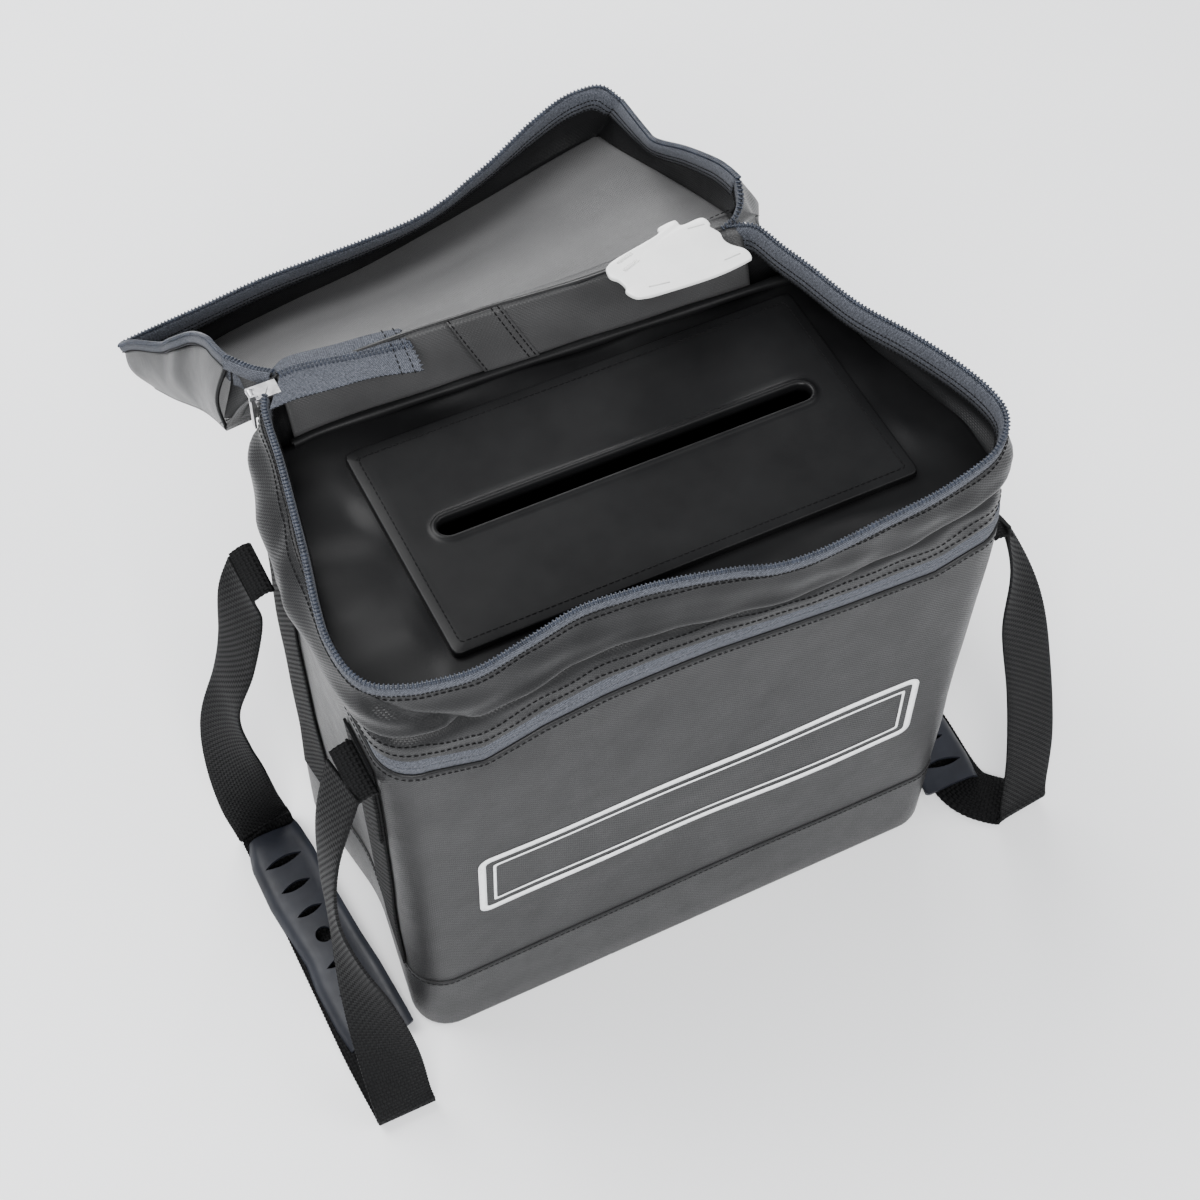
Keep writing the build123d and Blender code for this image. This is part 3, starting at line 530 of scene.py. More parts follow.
# The piece's modifiers made part of its mesh
def finished(piece):
    bpy.context.view_layer.update()
    plain = bpy.data.meshes.new_from_object(piece.evaluated_get(bpy.context.evaluated_depsgraph_get()))
    piece.modifiers.clear()
    piece.data = plain
    return piece


# A closed block over an outline seen from above; levels are (inset, height), from its bottom to its top
def slab(name, outline, levels, surface):
    ring = np.array(outline, float)
    area = (ring[:, 0] * np.roll(ring[:, 1], -1) - ring[:, 1] * np.roll(ring[:, 0], -1)).sum()
    ring = ring if area > 0 else ring[::-1]
    outward = outwardOf(ring)[:, :2]
    grid = [atHeight(ring - outward * inset, height) for inset, height in levels]
    return capped(sheet(name, grid, surface, closed=True), len(grid), len(ring))


def capped(piece, rowCount, columnCount, sharpAngle=40):
    closeEnds(piece, rowCount, columnCount).data.set_sharp_from_angle(angle=math.radians(sharpAngle))
    return piece


def cutOut(piece, cutters, sharpAngle=40):
    for cutter in cutters:
        cut = piece.modifiers.new("cut", "BOOLEAN")
        cut.object, cut.solver = cutter, "EXACT"
    finished(piece).data.set_sharp_from_angle(angle=math.radians(sharpAngle))
    for cutter in cutters:
        bpy.data.objects.remove(cutter)
    return piece


def settle(piece, body, slotName, *nodes):
    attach(piece, body)
    if nodes:
        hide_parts(*nodes)
    return piece


# Fabric that crosses the joint between two bodies; its modifiers are applied and its mesh baked in place,
# without a bend
def bendAcross(piece, slotName, bodies, start, end):
    finished(piece)
    start, end = (tuple(value * mm for value in place) for place in (start, end))
    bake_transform(piece)
    return piece


# The bag's own shape: its outlines from above at the floor and at the lower zip, with the corners' radii
bag = {
    "base": [(-200, -110), (200, -110), (184, 0), (200, 110), (-200, 110), (-184, 0)],
    "zip": [(-206, -110), (204, -110), (204, 0), (197, 110), (-200, 110), (-207, 0)],
    "radii": [24, 24, 120, 24, 24, 120],
    "zipHeight": 336,
    "counts": (44, 84, 44, 64),         # columns on the left side, the front, the right side and the rear
    # how far the lower zip rises or dips: side number plus the share along that side
    "zipWave": [(0, 2), (0.35, 14), (0.58, 9), (0.9, 6), (1.05, 3), (1.134, -9), (1.229, 2), (1.327, 6),
                (1.51, 4), (1.73, -3), (1.88, -5), (1.95, 5), (2.05, 8), (2.4, 3), (3, 0), (4, 2)],
    # heights of the body's rows, and at its top how much of the wave they take
    "heights": [2, 8, 20, 40, 62, 66, 75, 95, 120, 150, 180, 210, 240, 265, 285, 300, 312],
    "top": [(320, 0.75), (325, 0.92), (328, 1)],
    "wall": 2.3, "seamHeight": 324, "seamLift": 0.4, "seamShare": 0.92,
    "slowWave": 1.3, "quickWave": 0.5, "fullWaveHeight": 120, "leastWave": 0.15,
    # how far the flat of a side and of the front runs from its middle
    "sideReach": 100, "frontReach": 190,
}
columnTurn = np.concatenate([side + np.arange(count) / count for side, count in enumerate(bag["counts"])])


def tabled(table):
    at = np.array(table, float)
    return np.interp(columnTurn, at[:, 0], at[:, 1])


# Slow waves of the stiffened fabric, the same for all that lies on it
def wavesAt(points):
    x, y, z = points[..., 0], points[..., 1], points[..., 2]
    slow = np.sin(0.019 * x + 0.013 * z + 0.6) * np.sin(0.016 * z - 0.018 * y + 1.1)
    quick = np.sin(0.043 * x - 0.027 * z + 2) * np.sin(0.03 * y + 0.037 * z)
    share = np.clip(z / bag["fullWaveHeight"], bag["leastWave"], 1)
    return (bag["slowWave"] * slow + bag["quickWave"] * quick) * share


def bagRing(height, growth=0.0):
    share = min(height / bag["zipHeight"], 1)
    points = [tuple((1 - share) * a + share * b for a, b in zip(low, high))
              for low, high in zip(bag["base"], bag["zip"])]
    path = roundedOutline(points, bag["radii"])
    # the sides start at the left rear corner and run left, front, right, rear
    ring = atHeight(sidesOf(path, [points[4], points[0], points[1], points[3]], bag["counts"]), height)
    outward = outwardOf(ring)
    return ring + outward * (growth + wavesAt(ring))[:, None], outward


def withWave(ring, share=1.0):
    lifted = ring.copy()
    lifted[:, 2] += tabled(bag["zipWave"]) * share
    return lifted


# A place on the bag's left or right face, by its y and height
def onSide(side, y, height, lift=0.0):
    ring = bagRing(height)[0]
    ring = ring[(ring[:, 0] * side > 0) & (np.abs(ring[:, 1]) < bag["sideReach"])]
    ring = ring[np.argsort(ring[:, 1])]
    return np.array([np.interp(y, ring[:, 1], ring[:, 0]) + side * lift, y, height])


# A place on the bag's front, by its x and height
def onFront(x, height, lift=0.0):
    ring = bagRing(height)[0]
    ring = ring[(ring[:, 1] < -bag["sideReach"]) & (np.abs(ring[:, 0]) < bag["frontReach"])]
    ring = ring[np.argsort(ring[:, 0])]
    return np.array([x, np.interp(x, ring[:, 0], ring[:, 1]) - lift, height])


grid = [bagRing(height)[0] for height in bag["heights"]]
grid += [withWave(bagRing(height)[0], share) for height, share in bag["top"]]
bagBody = sheet("bagBody", grid, fabric, closed=True, thickness=bag["wall"])
settle(bagBody, "base", "coated_fabric", "front_panel", "rear_panel", "left_panel", "right_panel",
       "rear_hinge_band")

# the band round the foot, closed by the bag's underside
boot = {
    "rows": [(0.4, -0.6), (1.2, 0.2), (4, 0.8), (20, 0.9), (45, 0.8), (62, 0.9), (67.2, 0.9), (68, 0.3)],
    "leastHeight": 0.5, "soleHeight": 0.3, "soleShares": (0.02, 0.3, 0.6, 0.9, 0.985), "thickness": 1.4,
    "seamHeight": 64.5, "seamLift": 1.0,
}
wall = [atHeight(bagRing(max(height, boot["leastHeight"]), growth)[0], height)
        for height, growth in boot["rows"]]
sole = [atHeight(wall[0] * share, boot["soleHeight"]) for share in boot["soleShares"]]
bootBand = sheet("bootBand", sole + wall, fabric, closed=True, thickness=boot["thickness"])
settle(bootBand, "base", "coated_fabric", "base_boot")

# seams along the boot's top edge and the panels' top edge
ring, outward = bagRing(boot["seamHeight"], boot["seamLift"])
addRow("stitch", "base", np.vstack([ring, ring[:1]]), np.vstack([outward, outward[:1]]))
ring, outward = bagRing(bag["seamHeight"], bag["seamLift"])
addRow("stitch", "base", withWave(ring, bag["seamShare"]), outward)
print("bag body made")


# The narrow core that a row of teeth sits on
def coilCore(name, path, outward, upward, section):
    grid = [path + outward * shift + upward * lift for shift, lift in section]
    return facing(sheet(name, grid, zipCoil, loopRows=True))


# Lower zip; rows are (height, growth past the bag's outline)
lowerZip = {
    "rearShare": 0.1, "tape": 0.9,
    "bodyRows": [(322, -2.8), (328, -1.6), (332, -1.0), (334.5, -0.6), (335.6, -0.5)],
    "collarRows": [(336.3, -0.5), (338, -0.6), (341, -1.0), (345, -1.6), (351, -2.8)],
    "coils": [("lowerZipCoilRib", "base", "lower_zip_coil", 334.6),
              ("collar_lowerCoilRib", "collar", "collar_lower_coil", 337.4)],
    "coilGrowth": -3.2, "coilSection": [(0.6, -0.9), (0.6, 0.9), (-0.9, 0.9), (-0.9, -0.9)],
}
upright = np.array((0.0, 0.0, 1.0))
zipPart = (columnTurn >= lowerZip["rearShare"]) & (columnTurn <= 3 - lowerZip["rearShare"])


# The bag's ring at a height, which past the lower zip keeps the zip's outline, with the zip's rise and dip
def wavedRing(height, growth):
    return withWave(atHeight(bagRing(min(height, bag["zipHeight"]), growth)[0], height))


for name, rowsName, body, node in (("lowerZipTape", "bodyRows", "base", "lower_zip_tape"),
                                   ("collarLowerTape", "collarRows", "collar", "collar_lower_tape")):
    grid = [wavedRing(height, growth)[zipPart] for height, growth in lowerZip[rowsName]]
    settle(sheet(name, grid, zipTape, thickness=lowerZip["tape"]), body, "zip_tape", node)
for name, body, node, height in lowerZip["coils"]:
    path = withWave(atHeight(bagRing(bag["zipHeight"], lowerZip["coilGrowth"])[0], height))[zipPart]
    core = coilCore(name, path, outwardOf(path, False), upright, lowerZip["coilSection"])
    settle(core, body, "zip_coil", node)

# the band behind and round the rear corners that the collar hinges on
hingeBand = {"from": 2.86, "to": 0.14, "thickness": 1.4, "bend": ((0, 110, 328), (0, 110, 346)),
             "rows": [(321, -0.2), (326, 0.5), (330, 0.9), (336, 1.1), (342, 0.9), (347, 0.5), (352, -0.2)]}
behind = np.concatenate([np.where(columnTurn >= hingeBand["from"])[0],
                         np.where(columnTurn <= hingeBand["to"])[0]])
grid = [wavedRing(height, growth)[behind] for height, growth in hingeBand["rows"]]
band = sheet("rearHingeBand", grid, fabric, thickness=hingeBand["thickness"])
bendAcross(band, "coated_fabric", ("base", "collar"), *hingeBand["bend"])
print("lower zip made")

# Collar, from the lower zip up to the rim
collar = {
    "rim": [(-171, 126, 419), (-182, 112, 420), (-187, 99, 420), (-192, 66, 421), (-198, 34, 421),
            (-205, -2, 421), (-212, -33, 421), (-216, -59, 421), (-214, -84, 420), (-206, -99, 420),
            (-191, -107, 420), (-178, -110, 419), (-151, -112, 417), (-118, -108, 420), (-85, -102, 420),
            (-56, -103, 419), (-32, -105, 417), (6, -112, 414), (30, -118, 411), (57, -120, 411),
            (96, -118, 413), (136, -115, 414), (168, -109, 416), (184, -103, 418), (196, -91, 420),
            (200, -74, 420), (195, -47, 420), (181, -10, 420), (164, 25, 420), (153, 64, 420),
            (146, 86, 420), (140, 106, 421), (133, 113, 420), (122, 118, 418), (100, 118.5, 418),
            (60, 118, 418), (22, 118, 418), (-29, 120, 420), (-65, 121, 421), (-93, 122, 421),
            (-130, 123, 419), (-155, 124, 418)],
    "corners": [(-182, 112), (-206, -99), (190, -98), (138, 110)],
    # height of the valley and how deep it is pinched, round the collar
    "valley": [(0, 402), (0.1, 405), (0.25, 409), (0.37, 414), (0.5, 400), (0.62, 380), (0.85, 374),
               (1, 370), (1.14, 369), (1.27, 376), (1.38, 374), (1.5, 366), (1.63, 365), (1.8, 368),
               (1.97, 378), (2.1, 378), (2.6, 380), (3, 380), (3.2, 380), (4, 400)],
    "pinch": [(0, 3), (0.1, 6), (0.25, 6), (0.37, 4), (0.47, 0), (0.6, 1), (0.85, 4), (1, 7), (1.14, 8),
              (1.5, 9), (1.8, 8.5), (2, 7), (2.2, 5), (2.6, 4), (2.9, 3), (3.1, 0), (3.95, 0), (4, 2)],
    "belly": [(0, 2), (0.3, 4), (0.6, 5), (1, 4), (1.3, 5), (1.6, 4), (2, 5), (2.5, 4), (3, 2), (3.2, 1),
              (4, 1)],
    # how far the left side bulges under its crease
    "bulge": [(0, 5), (0.1, 12), (0.3, 17), (0.5, 16), (0.65, 9), (0.82, 3), (1, 0), (3.8, 0), (4, 4)],
    "bulgeHeight": 394,
    # the lip over the valley, and the short arm of the fold that runs up to the front left corner of the rim
    "lip": [(0, 0), (0.8, 1), (1, 3), (1.14, 5), (1.5, 4), (1.9, 2.5), (2.1, 0), (4, 0)],
    "arm": [(0.97, 409), (1.06, 390), (1.14, 369)],
    "armDepth": [(0.94, 0), (1, 5), (1.07, 7), (1.13, 6), (1.16, 0)],
    "rows": 44, "hem": 8, "tapeShown": 6.5, "thickness": 2.0, "crestFrom": 3.02,
    # how widely each form spreads up and down
    "widths": {"pinch": 6, "belly": 14, "lip": 5, "arm": 5, "bulge": 19}, "lipRise": 9, "wrinkle": 0.99,
    "ease": 0.35, "lowSeamShares": (0.07, 0.2), "highSeamShares": (0.93, 0.985), "seamLift": 0.3,
}
rimRing = sidesOf(curveThrough(collar["rim"], closed=True), collar["corners"], bag["counts"])
zipRing = bagRing(bag["zipHeight"])[0]
rimOut, zipOut = outwardOf(rimRing), outwardOf(zipRing)
valley, pinch, belly, bulge, lip, arm, armDepth = (
    tabled(collar[name]) for name in ("valley", "pinch", "belly", "bulge", "lip", "arm", "armDepth"))
hemLine = bag["zipHeight"] + collar["hem"] + tabled(bag["zipWave"])
crestPart = columnTurn > collar["crestFrom"]
rimTop = np.where(crestPart, rimRing[:, 2], rimRing[:, 2] - collar["tapeShown"])


def swell(distance, form):
    return np.exp(-(distance / collar["widths"][form]) ** 2)


def collarAt(share):
    height = hemLine * (1 - share) + rimTop * share
    blend = np.clip((height - bag["zipHeight"]) / (rimRing[:, 2] - bag["zipHeight"]), 0, 1)[:, None]
    place = zipRing * (1 - blend) + rimRing * blend
    place[:, 2] = height
    outward = unit(zipOut * (1 - blend) + rimOut * blend)
    push = belly * swell(height - (valley + rimTop) / 2, "belly") - pinch * swell(height - valley, "pinch")
    push += lip * swell(height - valley - collar["lipRise"], "lip") - armDepth * swell(height - arm, "arm")
    push += bulge * swell(height - collar["bulgeHeight"], "bulge")
    x, y = place[:, 0], place[:, 1]
    wrinkle = np.sin(0.11 * x + 0.09 * y + 0.13 * height) * np.sin(0.05 * x - 0.21 * height)
    ease = math.sin(share * math.pi) ** collar["ease"] if 0 < share < 1 else 0
    return place + outward * ((push + collar["wrinkle"] * wrinkle) * ease)[:, None], outward


collarGrid = np.array([collarAt(share)[0] for share in np.linspace(0, 1, collar["rows"])])
collarShell = sheet("collarShell", collarGrid, fabric, closed=True, thickness=collar["thickness"])
settle(collarShell, "collar", "coated_fabric", "collar_band", "collar_rear")
for seamShares, keep in ((collar["lowSeamShares"], zipPart), (collar["highSeamShares"], columnTurn < 3)):
    for share in seamShares:
        place, outward = collarAt(share)
        addRow("stitch", "collar", (place + outward * collar["seamLift"])[keep], outward[keep])


# The collar's wall at a height, as a ring
def collarRing(height, growth):
    ring = []
    for column in range(collarGrid.shape[1]):
        heights = collarGrid[:, column, 2]
        ring.append([np.interp(height, heights, collarGrid[:, column, axis]) for axis in range(2)])
    ring = np.array(ring)
    return atHeight(ring, height) + outwardOf(ring) * growth


print("collar made")

# Zip tape rolled over an edge, with its coil and seams; places are (outwards, upwards) from the edge
edgeTape = {
    "section": [(1.4, -7.2), (1.7, -4), (1.5, -1.4), (0.6, 0.0), (-0.6, 0.0), (-2.0, -1.2), (-2.9, -5),
                (-3.2, -11), (-3.5, -18)],
    "thickness": 0.9, "teeth": (0.2, 0.9), "coilSection": [(0.9, 0.0), (0.9, 1.2), (-0.7, 1.2), (-0.7, 0.0)],
    "outerSeams": [(1.95, -6.2)], "innerSeams": [(-3.95, -9), (-4.1, -13), (-4.3, -16.5)],
}


def rolledTape(name, path, outward, upward, body, nodes=(), offset=-1.0, crossing=None):
    grid = [path + outward * shift + upward * lift for shift, lift in edgeTape["section"]]
    piece = sheet(name, grid, zipTape, thickness=edgeTape["thickness"], offset=offset)
    if crossing:
        bendAcross(piece, "zip_tape", *crossing)
    else:
        settle(piece, body, "zip_tape", *nodes)
    shift, lift = edgeTape["teeth"]
    addRow("tooth", body, path + outward * shift + upward * lift, upward)
    for seams, face in (("outerSeams", 1), ("innerSeams", -1)):
        for shift, lift in edgeTape[seams]:
            addRow("seam", body, path + outward * shift + upward * lift, outward * face)
    return piece


rim = {"to": 3.06, "count": 420}
rimPath = evenly(rimRing[columnTurn <= rim["to"]], rim["count"])
rimOutward, rimUpward = outwardOf(rimPath, False), np.tile(upright, (len(rimPath), 1))
rolledTape("rimZipTape", rimPath, rimOutward, rimUpward, "collar", ("rim_zip_tape",))
core = coilCore("rimCoilCore", rimPath, rimOutward, upright, edgeTape["coilSection"])
settle(core, "collar", "zip_coil", "rim_zip_coil")

# Slot cover over its board: (growth, height) rows of its edge and of the slot's raised lip
slotPlate = {
    "length": 300, "depth": 158, "corner": 4, "bottom": 380.2, "top": 386, "slot": (245, 13), "slotY": 4,
    "lowEdge": [(-0.5, 0), (0, 0.8)], "highEdge": [(0, -1.1), (-0.35, -0.3), (-1.2, 0), (-9, -0.1)],
    "flatRows": 12, "flatFrom": -12, "flatTo": 6.5, "wave": 0.5,
    "lip": [(4.6, 0.15), (3.6, 0.7), (2.6, 1.3), (1.3, 1.3), (0.4, 0.6), (0, -0.8), (0, -3)],
    "seamInset": 6.5, "seamLift": 0.15,
}


# A straight slot with round ends, cut into four sides
def stadium(length, width, height, centreY, counts, arcSteps=24, spacing=1.5, cornerShare=0.7):
    half, radius = length / 2 - width / 2, width / 2
    arcs = []
    for centre, start in ((-half, 90), (half, -90)):
        for step in range(arcSteps + 1):
            angle = math.radians(start + 180 * step / arcSteps)
            arcs.append(np.array((centre + radius * math.cos(angle), centreY + radius * math.sin(angle))))
    reachX, reachY = half + radius * cornerShare, radius * cornerShare
    corners = [(-reachX, centreY + reachY), (-reachX, centreY - reachY), (reachX, centreY - reachY),
               (reachX, centreY + reachY)]
    return atHeight(sidesOf(filledIn(arcs, spacing), corners, counts), height)


def plateRing(growth, height):
    halfLength, halfDepth = slotPlate["length"] / 2 + growth, slotPlate["depth"] / 2 + growth
    box = [(-halfLength, -halfDepth), (halfLength, -halfDepth), (halfLength, halfDepth),
           (-halfLength, halfDepth)]
    path = roundedOutline(box, [slotPlate["corner"] + max(growth, -slotPlate["corner"] / 2)] * 4)
    return atHeight(sidesOf(path, [box[3], box[0], box[1], box[2]], bag["counts"]), height)


def slotRing(growth, height):
    length, width = slotPlate["slot"]
    return stadium(length + 2 * growth, width + 2 * growth, height, slotPlate["slotY"], bag["counts"])


top, bottom = slotPlate["top"], slotPlate["bottom"]
edge = [plateRing(growth, bottom + rise) for growth, rise in slotPlate["lowEdge"]]
edge += [plateRing(growth, top + rise) for growth, rise in slotPlate["highEdge"]]
inner, outer = slotRing(slotPlate["flatTo"], top), plateRing(slotPlate["flatFrom"], top)
flat = [outer * (1 - share) + inner * share for share in np.linspace(0, 1, slotPlate["flatRows"])]
for ring in edge[-1:] + flat:
    ring[:, 2] += slotPlate["wave"] * np.sin(ring[:, 0] * 0.035 + 1) * np.sin(ring[:, 1] * 0.05)
slotLip = [slotRing(growth, top + rise) for growth, rise in slotPlate["lip"]]
grid = [slotRing(0, bottom)] + edge + flat + slotLip
slotCover = facing(sheet("slotCover", grid, smoothCover, closed=True, loopRows=True))
settle(slotCover, "collar", "smooth_cover", "slot_cover")
ring = plateRing(-slotPlate["seamInset"], top + slotPlate["seamLift"])
addRow("stitch", "collar", np.vstack([ring, ring[:1]]), upright)

# Sheet under the slot cover, from the slot out to the collar, with the roll of fabric along its rear edge
sheetShape = {
    "height": 379.2, "edgeHeight": 380, "edgeGrowth": -1, "slotGrowth": 0.5, "rows": 26, "thickness": 1.6,
    "flatHalf": (150, 79), "fade": 12, "longWave": 1.2, "shortWave": 1.0,
    "roll": [(-172, 103, 382), (-147, 104, 383), (-84, 102, 383), (1, 99, 383), (96, 95, 383), (150, 93, 383),
             (168, 91, 382)],
    "rollCount": 120, "rollSteps": 14, "rollHalf": (3.4, 3.2), "rollDrop": 1, "wobble": 0.12,
}
roll = smoothPath(sheetShape["roll"], sheetShape["rollCount"])
outer = collarRing(sheetShape["edgeHeight"], sheetShape["edgeGrowth"])
outer[:, 1] = np.minimum(outer[:, 1], np.interp(outer[:, 0], roll[:, 0], roll[:, 1]))
inner = slotRing(sheetShape["slotGrowth"], sheetShape["height"])
grid = []
for share in np.linspace(0, 1, sheetShape["rows"]):
    ring = inner * (1 - share) + outer * share
    x, y = ring[:, 0], ring[:, 1]
    beyond = np.maximum(np.abs(x) - sheetShape["flatHalf"][0], np.abs(y) - sheetShape["flatHalf"][1])
    waves = sheetShape["longWave"] * np.sin(x * 0.06 + y * 0.04)
    waves = waves + sheetShape["shortWave"] * np.sin(y * 0.11 + 1)
    ring[:, 2] = sheetShape["height"] + np.clip(beyond / sheetShape["fade"], 0, 1) * waves
    grid.append(ring)
slotSheet = sheet("slotSheet", grid, smoothCover, closed=True, thickness=sheetShape["thickness"])
settle(slotSheet, "collar", "coated_fabric", "slot_sheet")
grid = []
for step in range(sheetShape["rollSteps"]):
    angle = 2 * math.pi * step / sheetShape["rollSteps"]
    wobble = 1 + sheetShape["wobble"] * np.sin(roll[:, 0] * 0.09)
    ring = roll.copy()
    ring[:, 1] += sheetShape["rollHalf"][0] * math.cos(angle) * wobble
    ring[:, 2] += sheetShape["rollHalf"][1] * math.sin(angle) * wobble - sheetShape["rollDrop"]
    grid.append(ring)
sheetRoll = facing(sheet("sheetRoll", grid, smoothCover, loopRows=True))
settle(sheetRoll, "collar", "coated_fabric")


# A line's y and z at the given places along x
def alongX(x, line):
    return np.stack([x] + [np.interp(x, line[:, 0], line[:, axis]) for axis in (1, 2)], axis=1)


# Lining of the collar's rear wall, from the roll up to the crest
lining = {"start": -170, "end": 132, "count": 120, "rows": 12, "bulge": 1.6, "thickness": 1.0,
          "rollGap": (0, 2.2, 0), "crestGap": (0, 1.4, 0.6), "crestCount": 90, "wrinkle": 0.9}
crestPath = evenly(np.vstack([rimRing[:1], rimRing[crestPart][::-1]]), lining["crestCount"])
along = np.linspace(lining["start"], lining["end"], lining["count"])
crestLine = alongX(along, crestPath[np.argsort(crestPath[:, 0])]) - lining["crestGap"]
rollBack = alongX(along, roll) + lining["rollGap"]
liningRows = []
for share in np.linspace(0, 1, lining["rows"]):
    row = rollBack * (1 - share) + crestLine * share
    wrinkle = lining["wrinkle"] * np.sin(along * 0.07 + 4 * share) * np.sin(along * 0.023 + 1)
    row[:, 1] -= math.sin(share * math.pi) * (lining["bulge"] + wrinkle)
    liningRows.append(row)
# the rear lining's paler colour is painted sheen
rearLining = sheet("rearLining", liningRows[::-1], liningPaintedSheen, thickness=lining["thickness"], offset=0)
settle(rearLining, "collar", "coated_fabric")
print("slot sheet and cover made")

# Lid, folded back: its panel's four edges, and the free edge of its wall
lid = {
    "near": [(-199, 151, 357), (-150, 152, 361), (-100, 150, 366), (-50, 149, 371), (0, 148, 376),
             (60, 148, 381), (110, 149, 385), (148, 150, 388)],
    "left": [(-199, 151, 357), (-197, 185, 330), (-194, 230, 289), (-198, 280, 248), (-201, 322, 216)],
    "far": [(-201, 322, 216), (-157, 325, 238), (-100, 327, 249), (-40, 333, 252), (18, 334, 266),
            (68, 332, 283), (116, 334, 295), (146, 335, 302)],
    "right": [(148, 150, 388), (157, 200, 356), (156, 250, 333), (151, 300, 313), (146, 335, 302)],
    "edgeLeft": [(-189, 160, 408), (-190, 178, 399), (-190, 196, 389), (-191, 230, 359), (-200, 250, 337),
                 (-202, 272, 312), (-213, 305, 286), (-218, 322, 268)],
    "edgeFar": [(-218, 322, 268), (-209, 328, 264), (-163, 316, 284), (-116, 315, 292), (-77, 314, 295),
                (-38, 314, 297), (-4, 312, 303), (21, 313, 311), (38, 315, 319), (56, 318, 326),
                (76, 324, 333), (94, 330, 338), (117, 336, 343), (133, 335, 347), (146, 329, 350),
                (155, 317, 344)],
    "edgeRight": [(143, 139, 433), (145, 155, 426), (146, 173, 417), (146, 210, 395), (143, 244, 374),
                (147, 267, 362), (155, 317, 344)],
    "sag": 9, "ripple": 1.6, "along": 60, "across": 90,
    # the outer fabric lies under the lining
    "outerDrop": (0, 0.4, 0.9), "outer": 1.4, "lining": 0.6,
    "wallRows": 14, "wall": 2.0, "wallBulge": 4.5, "wallRipple": 1.4, "tapeShown": 6.5,
    "middle": (-20, 240, 300),
}
near, far = smoothPath(lid["near"], lid["across"]), smoothPath(lid["far"], lid["across"])
leftSeam, rightSeam = smoothPath(lid["left"], lid["along"]), smoothPath(lid["right"], lid["along"])
acrossShares = np.linspace(0, 1, lid["across"])
grid = []
for row, v in enumerate(np.linspace(0, 1, lid["along"])):
    u = acrossShares[:, None]
    ruled = near * (1 - v) + far * v + leftSeam[row] * (1 - u) + rightSeam[row] * u
    ruled -= (near[0] * (1 - u) + near[-1] * u) * (1 - v) + (far[0] * (1 - u) + far[-1] * u) * v
    u, fade = acrossShares, np.sin(acrossShares * math.pi) * math.sin(v * math.pi)
    ruled[:, 2] -= fade * (lid["sag"] - lid["ripple"] * np.sin(9 * u + 4 * v) * np.sin(7 * v - 3 * u))
    grid.append(ruled)
lidPanel = sheet("lidPanel", [row - lid["outerDrop"] for row in grid[::-1]], fabric, thickness=lid["outer"])
settle(lidPanel, "lid", "coated_fabric", "lid_panel")
# the lid lining's pale colour is painted reflection
lidLining = sheet("lidLining", grid[::-1], lidLiningPaintedReflection, thickness=lid["lining"])
settle(lidLining, "lid", "coated_fabric")

# the lid's wall stands on three edges of its panel
seam = np.vstack([leftSeam, far[1:], rightSeam[::-1][1:]])
edge = np.vstack([smoothPath(lid["edgeLeft"], lid["along"]), smoothPath(lid["edgeFar"], lid["across"])[1:],
                  smoothPath(lid["edgeRight"], lid["along"])[::-1][1:]])
rise = unit(edge - seam)
wallOut = unit(np.cross(rise, unit(np.gradient(edge, axis=0))))
wallOut = wallOut * np.sign(((edge - np.array(lid["middle"])) * wallOut).sum(axis=1).mean())
grid = []
for share in np.linspace(0, 1, lid["wallRows"]):
    ripple = lid["wallRipple"] * np.sin(np.arange(len(seam)) * 0.19 + share * 3)
    push = (lid["wallBulge"] + ripple) * math.sin(share * math.pi)
    grid.append(seam * (1 - share) + (edge - rise * lid["tapeShown"]) * share + wallOut * push[:, None])
lidWall = sheet("lidWall", grid[::-1], fabric, thickness=lid["wall"])
settle(lidWall, "lid", "coated_fabric", "lid_wall")
rolledTape("lidZipTape", edge, wallOut, rise, "lid", ("lid_zip_tape",), offset=1.0)
core = coilCore("lidCoilCore", edge, wallOut, rise, edgeTape["coilSection"])
settle(core, "lid", "zip_coil", "lid_zip_coil")

# rear wall of the lid, from the crest down to the panel's near edge, with a ridge and a seam along that edge
rearWall = {"rows": 12, "lift": 5, "push": 3, "thickness": 1.8, "ridge": (0, -1.0, 1.4), "seam": (0, 5, 0.6),
            "up": (0, 0.3, 1)}
grid = []
for share in np.linspace(0, 1, rearWall["rows"]):
    row = crestPath * (1 - share) + near * share
    row[:, 2] += rearWall["lift"] * math.sin(share * math.pi) * (1 - 0.4 * share)
    row[:, 1] += rearWall["push"] * math.sin(share * math.pi)
    grid.append(row)
addRow("ridge", "lid", near + rearWall["ridge"], rearWall["up"])
addRow("stitch", "lid", near + rearWall["seam"], rearWall["up"])
rearFlap = sheet("rearFlap", grid, fabric, thickness=rearWall["thickness"])
settle(rearFlap, "rear_flap", "coated_fabric", "rear_flap")

# gussets that join the lid's side walls to the crest, with the zip's tape running on over them
gussets = {
    "left": {"lines": [[(-171, 128, 419), (-180, 142, 413), (-189, 160, 408)],
                       [(-174, 131, 403), (-182, 141, 396), (-188, 157, 392)],
                       [(-183, 143, 372), (-190, 147, 368), (-198, 152, 366)]],
             "out": (-0.9, 0.45, 0), "bend": ((-175, 133, 400), (-188, 156, 400))},
    "right": {"lines": [[(122, 118, 418), (132, 120, 422), (139, 127, 428), (143, 139, 433)],
                        [(128, 120, 411), (152, 130, 405), (163, 142, 378), (168, 152, 387)],
                        [(130, 123, 403), (142, 140, 394), (152, 155, 385), (157, 172, 376)]],
              "out": (0.75, -0.65, 0), "bend": ((126, 124, 405), (148, 148, 405))},
}
gussetShape = {"rows": 16, "columns": 24, "thickness": 1.6, "tapeCount": 40}
